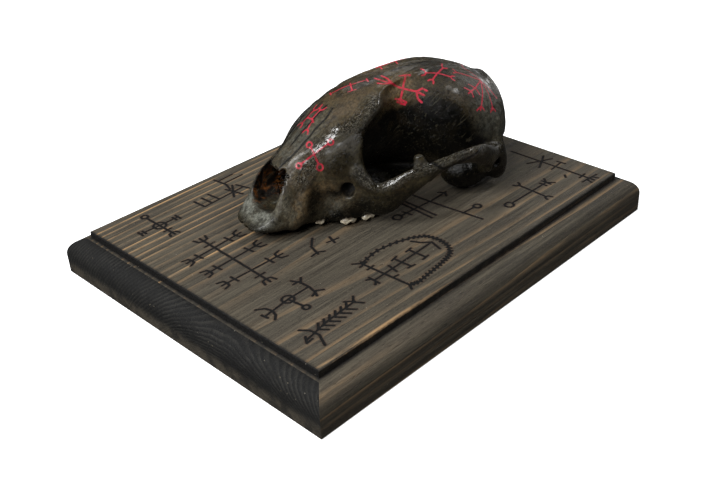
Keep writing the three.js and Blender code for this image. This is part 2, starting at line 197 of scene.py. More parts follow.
RIM_NOTCHES = [
    (((12.9, 5.4, 25), (2.3, 1.5, 1.7), 30, 0), 0.4), (((10.6, 2.9, 25.3), (1.4, 0.7, 1.2), 20, 0), 0.3),
    (((9.9, 0.4, 26), (1.8, 1.1, 1.7), 0, 0), 0.4)]
TEAR_HOLE = ((41.6, 17.4, 29.5), (3.2, 1.5, 1.7), 0, 0)

# Holes of the bone as (lump, softness of its edge), with open sockets where teeth have fallen out

HOLES = [(BRAIN_OPENING, 1.4), (EAR_HOLE, 0.5), (THROAT_HOLLOW, 1), (PALATE_HOLLOW, 1.2)]
HOLES += [((place, (1.5, 1.15, 2.5), 22, 0), 0.35) for place in INCISOR_PLACES]
HOLES += [(CANINE_SOCKET, 0.5), (FIRST_SOCKET, 0.3)]
HOLES += [((place, (0.95, 1.2, 3), 0, 0), 0.3) for place in THIRD_SOCKETS]
HOLES += RIM_NOTCHES + [(TEAR_HOLE, 0.5)]

# Scrolls of the nose: middle of a roll as (out, up), and where they end

SCROLL_MIDDLE = (4.2, 17.6)
SCROLL_BACK = 27
SCROLL_FLOOR = 9.4

# Teeth: place along and across the jaw, length, width, turn, and the tips of the crown,
# each as (along, across, height) in parts of its half length and half width

TEETH = {
    "premolar_2": ((24.4, 11.6), 4.0, 2.8, 12, [(0.1, 0.1, 1.8), (-0.5, 0, 2.6)]),
    "premolar_4": (
        (34.6, 14.7), 6.9, 7.2, 12,
        [(-0.42, 0.62, 1.1), (0.5, 0.6, 1.3), (-0.9, 0.45, 1.9), (-0.3, -0.55, 1.2), (0.5, -0.5, 1.5)]),
    "molar_1": (
        (42.1, 15.8), 6.5, 8.2, 2,
        [(-0.48, 0.66, 1.2), (0.46, 0.62, 1.3), (-0.4, -0.55, 1.2), (0.45, -0.5, 1.4), (0, 0.1, 1.9)]),
    "molar_2": ((48.4, 14.8), 4.9, 7.0, -10, [(-0.4, 0.6, 1.0), (0.42, 0.5, 1.3), (-0.1, -0.5, 1.4)])}
CROWN = [(0.8, 0.72), (1.7, 0.94), (3.2, 1), (4.6, 0.86), (6.4, 0.7)]
CROWN_SQUARE = 2.6
CROWN_LOW = 0.75
CROWN_HIGH = 6.4
CROWN_BOX = (0.4, 6.8)
DEEPEST_GROOVE = 2.6
TOOTH_GAP = 0.25

# Steps of the skins, how long an edge may be under paint and beside a burnt line,
# and how deep a burnt line is sunk and how far out

SKULL_STEP = 0.66
SCROLL_STEP = 0.42
TOOTH_STEP = 0.28
PAINTED_EDGE = 0.5
BURNT_EDGES = (0.8, 0.42)
BURN_DEPTH = 0.22
BURN_HALF = 0.52


# Solid forms as distance fields: negative inside

def through(knots, x):
    """A smooth curve through (x, value) knots, level beyond its ends."""
    k = np.array(knots, float)
    xs, ys = k[:, 0], k[:, 1]
    fine = np.linspace(xs[0], xs[-1], 1600)
    gaps = np.diff(xs)
    slopes = np.diff(ys) / gaps
    tangents = np.empty(len(xs))
    tangents[0], tangents[-1] = slopes[0], slopes[-1]
    tangents[1:-1] = (slopes[:-1] * gaps[1:] + slopes[1:] * gaps[:-1]) / (gaps[:-1] + gaps[1:])
    i = np.clip(np.searchsorted(xs, fine, side="right") - 1, 0, len(xs) - 2)
    g = gaps[i]
    t = (fine - xs[i]) / g
    values = ((2 * t ** 3 - 3 * t ** 2 + 1) * ys[i] + (t ** 3 - 2 * t ** 2 + t) * g * tangents[i]
              + (3 * t ** 2 - 2 * t ** 3) * ys[i + 1] + (t ** 3 - t ** 2) * g * tangents[i + 1])
    return np.interp(x, fine, values)


def joined(a, b, soft):
    """The union of two fields, filleted over about soft millimetres."""
    h = np.clip(0.5 + 0.5 * (b - a) / soft, 0, 1)
    return b * (1 - h) + a * h - soft * h * (1 - h)


def less(a, b, soft):
    """Field a with field b cut out of it."""
    return -joined(-a, b, soft)


def lump(form):
    """An ellipsoid, as (lowest corner, highest corner, field)."""
    middle, radii, pitch, turn = form
    reach = max(radii)

    def field(x, y, z):
        a, b = math.radians(pitch), math.radians(turn)
        qx, qy, qz = x - middle[0], y - middle[1], z - middle[2]
        qx, qz = math.cos(a) * qx + math.sin(a) * qz, -math.sin(a) * qx + math.cos(a) * qz
        qx, qy = math.cos(b) * qx + math.sin(b) * qy, -math.sin(b) * qx + math.cos(b) * qy
        k0 = np.sqrt((qx / radii[0]) ** 2 + (qy / radii[1]) ** 2 + (qz / radii[2]) ** 2)
        k1 = np.sqrt((qx / radii[0] ** 2) ** 2 + (qy / radii[1] ** 2) ** 2 + (qz / radii[2] ** 2) ** 2)
        return k0 * (k0 - 1) / np.maximum(k1, 1e-6)

    return [m - reach for m in middle], [m + reach for m in middle], field


def loft(form):
    """A body through its sections."""
    start, end = form["ends"]
    soft_start, soft_end = form["rounds"]
    widest = max(v for _, v in form["half"])
    highest = max(v for _, v in form["top"])
    lowest = min(v for _, v in form["low"])

    def field(x, y, z):
        top, mid, low, half = (through(form[k], x) for k in ("top", "mid", "low", "half"))
        up = z >= mid
        height = np.maximum(np.where(up, top - mid, mid - low), 0.01)
        n = np.where(up, through(form["square_top"], x), through(form["square_low"], x))
        u = np.abs(y) / np.maximum(half, 0.01)
        v = np.abs(z - mid) / height
        rho = (u ** n + v ** n) ** (1 / n)
        d = np.sqrt(y ** 2 + (z - mid) ** 2) * (1 - 1 / np.maximum(rho, 1e-4))
        d = np.where(rho < 0.05, -np.minimum(half, height), d)
        d = less(d, x - start, soft_start)
        return less(d, end - x, soft_end)

    return [start, -widest, lowest], [end, widest, highest], field


def eased(path, parts=5):
    """Points of a smooth curve through the path's rows."""
    p = np.array(path, float)
    p = np.vstack([2 * p[0] - p[1], p, 2 * p[-1] - p[-2]])
    rows = []
    for i in range(1, len(p) - 2):
        for t in np.arange(parts) / parts:
            rows.append(0.5 * (2 * p[i] + (p[i + 1] - p[i - 1]) * t
                               + (2 * p[i - 1] - 5 * p[i] + 4 * p[i + 1] - p[i + 2]) * t * t
                               + (3 * p[i] - p[i - 1] - 3 * p[i + 1] + p[i + 2]) * t ** 3))
    rows.append(p[-2])
    return np.array(rows)


def bar(path):
    """A bar of oval section along a path."""
    rows = eased(path)
    reach = rows[:, 3:].max()

    def field(x, y, z):
        best = None
        for a, b in zip(rows[:-1], rows[1:]):
            along = b[:3] - a[:3]
            length = np.linalg.norm(along)
            along = along / length
            qx, qy, qz = x - a[0], y - a[1], z - a[2]
            t = np.clip((qx * along[0] + qy * along[1] + qz * along[2]) / length, 0, 1)
            shift = t * length
            qx, qy, qz = qx - shift * along[0], qy - shift * along[1], qz - shift * along[2]
            side = np.array([-along[1], along[0], 0])
            side = side / max(np.hypot(side[0], side[1]), 1e-6)
            up = np.cross(along, side)
            u = qx * side[0] + qy * side[1] + qz * side[2]
            v = qx * up[0] + qy * up[1] + qz * up[2]
            w = qx * along[0] + qy * along[1] + qz * along[2]
            ru, rv = a[3] + t * (b[3] - a[3]), a[4] + t * (b[4] - a[4])
            rw = np.minimum(ru, rv)
            k0 = np.sqrt((u / ru) ** 2 + (v / rv) ** 2 + (w / rw) ** 2)
            k1 = np.sqrt((u / ru ** 2) ** 2 + (v / rv ** 2) ** 2 + (w / rw ** 2) ** 2)
            d = np.where(k0 < 1e-3, -rw, k0 * (k0 - 1) / np.maximum(k1, 1e-6))
            best = d if best is None else np.minimum(best, d)
        return best

    return rows[:, :3].min(0) - reach, rows[:, :3].max(0) + reach, field


def crown(name, grow=0.0):
    """A tooth of the skull's right side, as (lowest corner, highest corner, field)."""
    place, length, width, turn, tips = TEETH[name]
    a = math.radians(turn)

    def field(x, y, z):
        qx, qy = x - place[0], y - place[1]
        along = math.cos(a) * qx + math.sin(a) * qy
        across = -math.sin(a) * qx + math.cos(a) * qy
        size = through(CROWN, z)
        u = np.abs(along) / (length / 2 * size + grow)
        v = np.abs(across) / (width / 2 * size + grow)
        rho = (u ** CROWN_SQUARE + v ** CROWN_SQUARE) ** (1 / CROWN_SQUARE)
        d = (rho - 1) * min(length, width) / 2 * 0.9
        if not grow:
            floor = DEEPEST_GROOVE + 0 * z
            for tu, tv, tz in tips:
                far = np.hypot(along - tu * length / 2, across - tv * width / 2)
                floor = np.minimum(floor, tz + np.maximum(far - 0.35, 0) * 0.95)
            dent = 0.16 * np.sin(along * 2.1 + 0.6) * np.sin(z * 1.7)
            d = less(d + dent, z - floor, 0.7)
        d = less(d, z + grow - CROWN_LOW, 0.4)
        return less(d, CROWN_HIGH + grow - z, 0.5)

    reach = max(length, width) / 2 + 1 + grow
    low = [place[0] - reach, place[1] - reach, CROWN_BOX[0] - grow]
    high = [place[0] + reach, place[1] + reach, CROWN_BOX[1] + grow]
    return low, high, field


FAR_OFF = 60.0
NEAR_MARGIN = 1.6


class Form:
    """A field that grows by adding and cutting solids, each worked out only near itself."""

    def __init__(self, x, y, z):
        self.x, self.y, self.z = x, y, z
        self.d = np.full(x.shape, FAR_OFF)

    def near(self, low, high, extra):
        e = extra + NEAR_MARGIN
        keep = (self.x > low[0] - e) & (self.x < high[0] + e)
        keep &= (self.z > low[2] - e) & (self.z < high[2] + e)
        keep &= (self.y > low[1] - e) & (self.y < high[1] + e)
        return np.flatnonzero(keep)

    def add(self, solid, soft):
        low, high, field = solid
        i = self.near(low, high, soft)
        self.d[i] = joined(self.d[i], field(self.x[i], self.y[i], self.z[i]), soft)

    def cut(self, solid, soft):
        low, high, field = solid
        i = self.near(low, high, soft)
        self.d[i] = less(self.d[i], field(self.x[i], self.y[i], self.z[i]), soft)


def uneven(x, y, z):
    """Small slow bends, so the two sides aren't mirror images."""
    return (x + 0.22 * np.sin(y / 8.5 + z / 13 + 0.6),
            y + 0.34 * np.sin(x / 12.5 + 1.3) + 0.16 * np.sin(z / 6.1 + x / 15),
            z + 0.26 * np.sin(x / 10.2 + y / 12 + 2.1) + 0.12 * np.sin(y / 4.3 + x / 7.7))


def nose_cuts(form):
    """The slanted opening of the nose: a face that leans back over a ledge."""
    i = np.flatnonzero(form.x < 16)
    x, z = form.x[i] - NOSE_CORNER[0], form.z[i] - NOSE_CORNER[1]
    face = -math.cos(APERTURE_LEAN) * x + math.sin(APERTURE_LEAN) * z
    ledge = -math.sin(LEDGE_SLOPE) * x + math.cos(LEDGE_SLOPE) * z
    both = joined(face, ledge, 1.5)
    form.d[i] = less(form.d[i], -both, 1.6)


def cranium_field(x, y, z):
    """The whole skull, from its main body down to the sockets of its teeth."""
    x, y, z = uneven(x, y, z)
    form = Form(x, np.abs(y), z)
    for section, soft in ((VAULT, 0.1), (PALATE, 3), (CHEEKS, 3)):
        form.add(loft(section), soft)
    form.add(bar(CANINE_ROOT), 2.2)
    for hollow, soft in ((CANINE_HOLLOW, 2.4), (EYE_SOCKET, 1.2), (UNDER_ARCH, 2)):
        form.cut(lump(hollow), soft)
    for path, soft in ((ARCH, 2), (ARCH_PROCESS, 1.6), (EYE_RIM, 2.2)):
        form.add(bar(path), soft)
    form.cut(lump(BROW_HOLLOW), 1.6)
    form.add(bar(TEMPLE_LINE), 2.6)
    form.add(lump(EAR_CAPSULE), 2)
    form.add(bar(EAR_TUBE), 1.8)
    form.add(bar(JAW_STOP), 1.6)
    form.add(lump(MASTOID), 3)
    form.add(bar(NECK_PROCESS), 2.4)
    form.add(lump(CONDYLE), 1.6)
    form.add(bar(NUCHAL_CREST), 4.5)
    form.add(bar(NECK_RIDGE), 2)
    form.add(bar(PALATE_WING), 1.2)
    nose_cuts(form)
    form.cut(loft(NOSE_CAVITY), 0.8)
    form.cut(bar(CHEEK_OPENING), 0.9)
    for hole, soft in HOLES:
        form.cut(lump(hole), soft)
    for name in TEETH:
        form.cut(crown(name, TOOTH_GAP), 0.3)
    ripple = 0.03 * np.sin(x * 1.1 + 1.7 * np.sin(z / 3.1)) * np.sin(y * 0.9 + z * 0.7)
    ripple = ripple + 0.02 * np.sin(z * 1.6 + x * 0.5)
    return form.d + ripple


# Surfaces from fields

CORNERS = np.array([(i & 1, i >> 1 & 1, i >> 2 & 1) for i in range(8)])


def skin(field, low, high, step):
    """A closed skin of triangles where the field is zero."""
    axes = [np.arange(low[i], high[i] + step, step) for i in range(3)]
    shape = tuple(len(a) for a in axes)
    grid = np.meshgrid(*axes, indexing="ij")
    d = field(*[g.ravel() for g in grid]).reshape(shape)
    inside = d < 0
    cells = tuple(n - 1 for n in shape)
    count = np.zeros(cells, np.int8)
    for i, j, k in CORNERS:
        count += inside[i:i + cells[0], j:j + cells[1], k:k + cells[2]]
    mixed = (count > 0) & (count < 8)
    cell = np.argwhere(mixed)
    number = np.full(cells, -1, np.int64)
    number[mixed] = np.arange(len(cell))
    value = np.stack([d[tuple((cell + c).T)] for c in CORNERS], 1)
    total, crossings = np.zeros((len(cell), 3)), np.zeros(len(cell))
    for a in range(8):
        for b in range(a + 1, 8):
            if np.abs(CORNERS[a] - CORNERS[b]).sum() != 1:
                continue
            hit = (value[:, a] < 0) != (value[:, b] < 0)
            t = value[hit, a] / (value[hit, a] - value[hit, b])
            total[hit] += CORNERS[a] + t[:, None] * (CORNERS[b] - CORNERS[a])
            crossings[hit] += 1
    points = np.array(low) + step * (cell + total / crossings[:, None])
    quads = []
    for axis in range(3):
        b, c = (axis + 1) % 3, (axis + 2) % 3
        first = [slice(None)] * 3
        second = [slice(None)] * 3
        first[axis], second[axis] = slice(0, -1), slice(1, None)
        edge = np.argwhere(inside[tuple(first)] != inside[tuple(second)])
        for across in (b, c):
            edge = edge[(edge[:, across] > 0) & (edge[:, across] < shape[across] - 1)]
        eb, ec = np.eye(3, dtype=int)[b], np.eye(3, dtype=int)[c]
        quad = np.stack([number[tuple((edge - o).T)] for o in (0 * eb, eb, eb + ec, ec)], 1)
        turned = ~inside[tuple(edge.T)]
        quad[turned] = quad[turned][:, ::-1]
        quads.append(quad)
    quads = np.concatenate(quads)
    p = points[quads]
    short = np.linalg.norm(p[:, 0] - p[:, 2], axis=1) <= np.linalg.norm(p[:, 1] - p[:, 3], axis=1)
    first = np.where(short[:, None], quads[:, [0, 1, 2]], quads[:, [0, 1, 3]])
    second = np.where(short[:, None], quads[:, [0, 2, 3]], quads[:, [1, 2, 3]])
    return points, np.concatenate([first, second])


def slope(field, points):
    """How fast the field rises along each axis."""
    reach = 0.08
    rows = []
    for axis in range(3):
        move = np.zeros(3)
        move[axis] = reach
        rows.append((field(*(points + move).T) - field(*(points - move).T)) / (2 * reach))
    return np.stack(rows, 1)


def settle(field, points, most=0.3):
    """Moves points onto the field's surface, by no more than most."""
    g = slope(field, points)
    step = (field(*points.T) / np.maximum((g ** 2).sum(1), 0.2))[:, None] * g
    size = np.linalg.norm(step, axis=1)
    return points - step * np.minimum(1, most / np.maximum(size, 1e-9))[:, None]


def finer(points, faces, wanted, limit):
    """Halves each edge longer than limit where its middle is wanted, and closes the faces beside it."""
    n = len(points)
    edges = np.sort(np.concatenate([faces[:, [0, 1]], faces[:, [1, 2]], faces[:, [2, 0]]]), axis=1)
    key, where = np.unique(edges[:, 0].astype(np.int64) * n + edges[:, 1], return_inverse=True)
    a, b = key // n, key % n
    middle = (points[a] + points[b]) / 2
    halve = (np.linalg.norm(points[a] - points[b], axis=1) > limit) & wanted(middle)
    number = np.where(halve, n + np.cumsum(halve) - 1, -1)
    m = number[where].reshape(3, -1).T
    count = (m >= 0).sum(1)

    def faces_of(*corners):
        return np.stack(corners, 1)

    result = [faces[count == 0]]
    for r in range(3):
        f, e = np.roll(faces, -r, 1), np.roll(m, -r, 1)
        one = (count == 1) & (e[:, 0] >= 0)
        result.append(faces_of(f[one, 0], e[one, 0], f[one, 2]))
        result.append(faces_of(e[one, 0], f[one, 1], f[one, 2]))
        two = (count == 2) & (e[:, 2] < 0)
        result.append(faces_of(e[two, 0], f[two, 1], e[two, 1]))
        result.append(faces_of(f[two, 0], e[two, 0], e[two, 1]))
        result.append(faces_of(f[two, 0], e[two, 1], f[two, 2]))
    every = count == 3
    f, e = faces[every], m[every]
    result.append(faces_of(f[:, 0], e[:, 0], e[:, 2]))
    result.append(faces_of(e[:, 0], f[:, 1], e[:, 1]))
    result.append(faces_of(e[:, 2], e[:, 1], f[:, 2]))
    result.append(e)
    return np.vstack([points, middle[halve]]), np.concatenate(result)


def outward(points, faces):
    """Unit normals of the points."""
    p = points[faces]
    normal = np.cross(p[:, 1] - p[:, 0], p[:, 2] - p[:, 0])
    total = np.zeros_like(points)
    for k in range(3):
        np.add.at(total, faces[:, k], normal)
    return total / np.maximum(np.linalg.norm(total, axis=1), 1e-12)[:, None]


def on_plaque(points):
    """The skull's own millimetres to metres on the plaque."""
    x, y, z = (points * SKULL_SCALE).T
    c, s = math.cos(SKULL_TURN), math.sin(SKULL_TURN)
    foot = PLAQUE_THICKNESS + SKULL_LIFT
    return np.stack([SKULL_X + c * x - s * y, SKULL_Y + s * x + c * y, foot + z], 1) * MM


def new_object(name, mesh):
    obj = bpy.data.objects.new(name, mesh)
    scene.collection.objects.link(obj)
    return obj


def make_piece(name, points, faces, material, attributes=None, sharp=None):
    """A mesh object from points in metres."""
    mesh = bpy.data.meshes.new(name)
    mesh.from_pydata(points.tolist(), [], faces.tolist())
    mesh.polygons.foreach_set("use_smooth", np.ones(len(mesh.polygons), bool))
    for key, values in (attributes or {}).items():
        layer = mesh.attributes.new(key, "FLOAT", "POINT")
        layer.data.foreach_set("value", np.ascontiguousarray(values, np.float32))
    if sharp is not None:
        mesh.set_sharp_from_angle(angle=math.radians(sharp))
    mesh.validate()
    mesh.update()
    mesh.materials.append(material)
    return new_object(name, mesh)


# Strokes of paint and of the burning pen

def ring(cx, cy, r, sides=9):
    angles = [2 * math.pi * k / sides for k in range(sides + 1)]
    return [(cx + r * math.cos(a), cy + r * math.sin(a)) for a in angles]


def ended(a, b, kind, size):
    """A line from a to b with an end mark at b."""
    ax, ay = a
    bx, by = b
    length = math.hypot(bx - ax, by - ay)
    ux, uy = (bx - ax) / length, (by - ay) / length
    px, py = -uy, ux

    def at(along, across):
        return (bx + along * size * ux + across * size * px, by + along * size * uy + across * size * py)

    def bent(*rows):
        return [at(along, across) for along, across in rows]

    lines = [[a, b]]
    if kind == "fork":
        lines += [bent((0, 0), (0.35, 0.55), (1, 0.75)), bent((0, 0), (0.35, -0.55), (1, -0.75))]
    elif kind == "trident":
        lines += [bent((1, 0), (0, 0)), bent((0, 0), (0.25, 0.7), (1.1, 0.95)),
                  bent((0, 0), (0.25, -0.7), (1.1, -0.95)), bent((-1.3, 0.8), (-1.2, -0.8))]
    elif kind == "bar":
        lines += [bent((0, 0.9), (0, -0.9))]
    elif kind == "bars":
        lines += [bent((0, 0.9), (0, -0.9)), bent((-0.9, 0.7), (-0.9, -0.7))]
    elif kind == "ring":
        cx, cy = at(0.8, 0)
        lines += [ring(cx, cy, 0.8 * size)]
    return lines


def arms(middle, *ends):
    """Lines from one middle to several ends, each end as (place, mark, size of the mark)."""
    lines = []
    for end, kind, size in ends:
        lines += ended(middle, end, kind, size)
    return lines


def off_strokes(p, q, strokes):
    """Distance of flat points from the nearest stroke."""
    best = np.full(len(p), 99.0)
    for stroke in strokes:
        for (ax, ay), (bx, by) in zip(stroke[:-1], stroke[1:]):
            dx, dy = bx - ax, by - ay
            t = np.clip(((p - ax) * dx + (q - ay) * dy) / max(dx * dx + dy * dy, 1e-9), 0, 1)
            best = np.minimum(best, np.hypot(p - ax - t * dx, q - ay - t * dy))
    return best


# Red staves: middle and outward direction on the skull, half width of the brush,
# and strokes in a flat frame whose first axis runs back along the skull
# A stave marks no point beyond its reach or its depth

STAVE_REACH = 21
STAVE_DEPTH = 9
RED_STAVES = [
    ((25.1, -9.8, 30.3), (-0.46, -0.71, 0.53), 0.36, [
        [(-0.2, -3.2), (0, -0.3), (0.3, 3.9)], [(6.2, -1.9), (0, -0.3), (-5.8, 1.3)],
        ring(-0.5, -4.3, 1.1), ring(7.3, -2.1, 1.1), ring(-6.8, 1.6, 1.0), ring(0.3, 5, 1.2)]),
    ((31.3, 1.4, 39.6), (-0.59, 0.07, 0.8), 0.36, [
        *arms((-1, -2.7), ((-3.6, -2.9), "fork", 2.0), ((2.6, -2.4), "fork", 2.4)),
        [(-1, -2.7), (-0.6, 0.6), (-1.4, 2.6)],
        *ended((-0.6, 0.6), (3.8, 0.9), "fork", 2.2), *ended((-0.8, 1.6), (-5, 2.6), "fork", 1.8)]),
    ((48, 1.6, 48), (-0.27, 0.05, 0.96), 0.34, [
        *arms((0, -1.1), ((-6.8, -3.7), "bar", 1.5), ((7.1, 1.6), "bar", 1.7)),
        [(1.8, -2.5), (-1.2, 3.8)], [(-2.6, 3.2), (0.2, 4.3)]]),
    ((64.7, -9.2, 46.3), (-0.19, -0.78, 0.59), 0.42, [
        [(-5.2, -4.6), (-3.6, -2.9), (0, 0), (4.6, 2.9)], [(-8.2, -4.9), (-6.2, -3.5), (-3.6, -2.9)],
        [(-4.6, -7.6), (-3.4, -5.4), (-3.6, -2.9)], [(-7.6, -7.4), (-5.2, -4.6)],
        [(4.6, 2.9), (7.2, 2.6), (8.4, 4)], [(4.6, 2.9), (4.2, 5.6), (5.2, 7.4)], [(4.6, 2.9), (6.8, 5.2)],
        [(3.2, -4.4), (0.4, -0.2), (-1.8, 3.4), (-2.2, 5.2)], [(1.2, -5), (5, -3.9)],
        [(-3.9, 2.9), (-1.8, 3.8), (-0.2, 5.4)], [(-3.4, 4.2), (-0.8, 6)]]),
    ((80.9, -9.5, 48.4), (0.12, -0.41, 0.91), 0.36, arms(
        (0, 0), ((-4.4, -1.7), "fork", 1.9), ((4.6, -2.6), "fork", 1.7),
        ((4.2, 3.2), "fork", 1.7), ((-4, 2.4), "fork", 1.5))),
    ((94.1, -16.2, 39.9), (0.33, -0.59, 0.73), 0.34, [
        [(5.4, -4.2), (-4.4, -9.4)], [(-6.4, -9.2), (-4.4, -9.4), (-4.2, -11.6)],
        [(5.4, -4.2), (3.4, -16.4)], [(1.8, -16.2), (3.4, -14.4), (5.2, -16.4)],
        [(5.4, -4.2), (-1.2, -0.6), (-6.4, 1.4)],
        [(-3.6, -2.6), (-1.2, -0.6), (-0.6, 2.4)], [(-6.9, -1.4), (-4.4, 0.6), (-4.6, 3)],
        [(5.4, -4.2), (-2.8, 8.4)], [(-4.6, 8.2), (-2, 7), (-0.4, 8.8)], [(5.4, -4.2), (4.6, 9)],
        [(3, 9.6), (4.6, 7.8), (6.4, 9.4)], [(5.4, -4.2), (9.4, 4.4)]]),
    ((69.4, 6, 50.5), (-0.09, -0.32, 0.94), 0.3, [
        [(-6.2, -0.4), (-1, 0), (7.2, 0.4)], [(-4.4, -2), (-4.6, 1.6)], [(1.8, -1.6), (2.2, 2)]]),
]


def red_paint(points, normals=None):
    """Distance in millimetres outside the painted strokes."""
    best = np.full(len(points), 9.0)
    for middle, facing, half, strokes in RED_STAVES:
        n = np.array(facing) / np.linalg.norm(facing)
        u = np.array([1.0, 0, 0]) - n[0] * n
        u /= np.linalg.norm(u)
        v = np.cross(u, n)
        q = points - np.array(middle)
        near = np.flatnonzero((np.linalg.norm(q, axis=1) < STAVE_REACH) & (np.abs(q @ n) < STAVE_DEPTH))
        if normals is not None:
            near = near[normals[near] @ n > 0.15]
        if len(near):
            best[near] = np.minimum(best[near], off_strokes(q[near] @ u, q[near] @ v, strokes) - half)
    return best


# Seams of the skull: lines on its right side, repeated on the left

SEAMS = [
    [
        (12.5, 3.2, 25.6), (16, 3.7, 28), (19.3, 4.3, 30.2), (24.7, 4.8, 34.6), (29.1, 4.6, 38),
        (33, 4.9, 40.6), (36.5, 4, 43.2)],
    [(12, 8.6, 20), (11, 10.2, 14.5), (9.2, 10.8, 9), (8.8, 11, 5)],
    [(61.5, 33.2, 25.6), (65, 34.6, 23.2), (71, 35.6, 24.2), (78, 36, 25.2), (82, 35.8, 26.4)],
    [(40, 16.5, 33), (41.6, 15.6, 29.5), (44, 15, 25)]]
MID_SEAMS = [
    [(12, 0, 28.5), (20, 0, 33), (29, 0, 38.6), (36, 0, 44)],
    [(66, 0, 51.4), (80, 0, 50.6), (92, 0, 47.4), (105, 0, 40.6)]]


def seam_lines(points, normals):
    """Signed distance from the nearest seam, and its plain distance."""
    signed, plain = np.full(len(points), 4.0), np.full(len(points), 4.0)
    mirrored = points.copy()
    mirrored[:, 1] = np.abs(mirrored[:, 1])
    facing = normals.copy()
    facing[:, 1] *= np.sign(points[:, 1])
    for seam, p, n in [(s, mirrored, facing) for s in SEAMS] + [(s, points, normals) for s in MID_SEAMS]:
        rows = eased(seam, 4)
        for a, b in zip(rows[:-1], rows[1:]):
            along = b - a
            length = np.linalg.norm(along)
            along /= length
            q = p - a
            t = np.clip(q @ along, 0, length)
            q = q - t[:, None] * along
            far = np.linalg.norm(q, axis=1)
            i = np.flatnonzero(far < plain)
            plain[i] = far[i]
            signed[i] = np.einsum("ij,ij->i", q[i], np.cross(along, n[i]))
    return signed, plain


# Patches of colour: middle on the skull's right side, reach and strength

TAN_PATCHES = [
    ((18, 13, 13), 8, 0.2), ((28, 15, 15), 7, 0.6), ((18, 2, 30), 8, 0.3), ((62, 10, 45), 8, 0.9),
    ((66, 9, 48), 7, 0.7), ((39, 5, 44), 9, 0.5), ((47, 8, 47), 8, 0.35), ((28, 15, 17), 6, 0.55),
    ((19.5, 11, 16), 5, 0.6), ((15, 12, 10), 5, 0.8), ((24, 10, 26), 6, 0.4), ((50, 29, 20), 5, 0.3),
    ((77, 35, 26), 6, 0.25), ((34, 19, 9), 6, 0.35), ((84, 20, 40), 8, 0.25), ((60, 13, 34), 5, 0.55),
    ((9, 9, 22), 5, 0.45)]
# Black patches: dark staining together with painted shade in the eye sockets, temples and hollows, under
# the arch and under the jaw
STAIN_AND_SHADE_PATCHES = [
    ((70, 16, 31), 9, 1.4), ((77, 21, 29), 9, 1.4), ((81, 24, 22), 7.5, 1.3), ((93, 26, 14), 5, 0.6),
    ((58, 25, 6), 6, 0.9), ((90, 12, 7), 9, 1.2), ((62, 12, 27), 10, 1.4), ((56, 12, 33), 8, 1.2),
    ((79, 21, 35), 5.5, 0.8), ((73, 17, 39), 6, 0.8), ((45, 14, 28), 8, 1.2), ((50, 15, 13), 8, 1.4),
    ((33, 18.5, 32), 4.5, 0.6), ((28.5, 17.5, 27), 4.5, 0.6), ((40, 17, 38), 4, 0.5),
    ((92, 33, 12), 6, 0.6), ((100, 22, 16), 7, 1.2), ((100, 24, 8), 7, 0.8), ((90, 18, 8), 9, 0.9),
    ((38, 20, 9), 7, 0.3), ((50, 20, 12), 7, 1.2), ((29.5, 16, 15.6), 2.6, 1.0),
    ((22.5, 13.4, 16.5), 3, 1.1), ((21, 13.3, 12.5), 3, 1.0), ((20.5, 13.4, 8), 3, 0.7),
    ((27.3, 14.6, 5.5), 3.6, 0.8), ((32.2, 17.6, 5.5), 4.2, 0.9), ((40, 20, 7), 6, 0.9),
    ((47, 22, 8), 5, 0.8), ((-1, 5, 4), 3.4, 0.8), ((2, 10, 6), 2.6, 0.7), ((64, 6, 12), 7, 1.4),
    ((88, 20, 5), 9, 1.4)]
# Grey patches: grey tone together with painted sheen on the temple and the back of the braincase
GREY_AND_SHEEN_PATCHES = [
    ((3, 8.3, 9.2), 3.2, 1.0), ((2.2, 4, 8.8), 3, 0.8), ((5.5, 5, 10.5), 3.4, 0.7),
    ((1.5, 0, 8.2), 2.6, 0.5), ((9, 10.6, 13.5), 2.4, 0.5), ((18, 1, 30), 5.5, 0.36),
    ((25, 1, 35), 5.5, 0.28), ((32, 2, 40), 5.5, 0.2), ((12, 13, 12), 6, 0.25), ((29, 16.5, 11.5), 6, 0.4),
    ((97, 17, 38), 10, 0.35), ((97, 24, 29), 8, 0.4)]

# Where the painted shade on the right of the snout starts, as (x, y), with a painted highlight along that
# edge, and the paths of the coarse glossy bands

FLANK_EDGE = [(13, 3.2), (19.5, 4.6), (23, 5.6), (28.9, 6.6), (31.9, 7.4), (36.9, 9.6), (43, 12)]
ORBIT_RIM = [
    (36, 22, 24), (38, 23.6, 21), (42, 24.6, 19.4), (47, 28, 20), (53, 30.6, 23.6), (60, 33, 24.6),
    (72, 35, 26.4), (83, 35.4, 26)]
COARSE_BAND = [
    (18, 11.5, 23), (24, 10.5, 29), (30, 10.6, 34.5), (35, 11.6, 38), (40, 13, 39.6), (45, 13, 42.5),
    (51, 11.6, 46)]


def patches(points, rows):
    """How strongly the soft round patches of a list cover each point."""
    total = np.zeros(len(points))
    p = points.copy()
    p[:, 1] = np.abs(p[:, 1])
    for middle, reach, strength in rows:
        total += strength * np.exp(-((p - np.array(middle)) ** 2).sum(1) / reach ** 2)
    return np.clip(total, 0, 1)


def painted_right_flank(points):
    """Painted shade on the right of the snout, and a painted highlight line along the edge that it starts
    from.
    """
    x = points[:, 0]
    side = points[:, 1] - through(FLANK_EDGE, x)
    fade = np.clip((44 - x) / 4, 0, 1)
    darkening = np.clip(side / 0.6, 0, 1) * np.clip(1.5 - side / 7, 0, 1) * np.clip((x - 15.5) / 3, 0, 1) * fade
    edge = np.exp(-((side + 0.3) / 0.4) ** 2) * np.clip((x - 11) / 2, 0, 1) * fade
    return darkening, edge


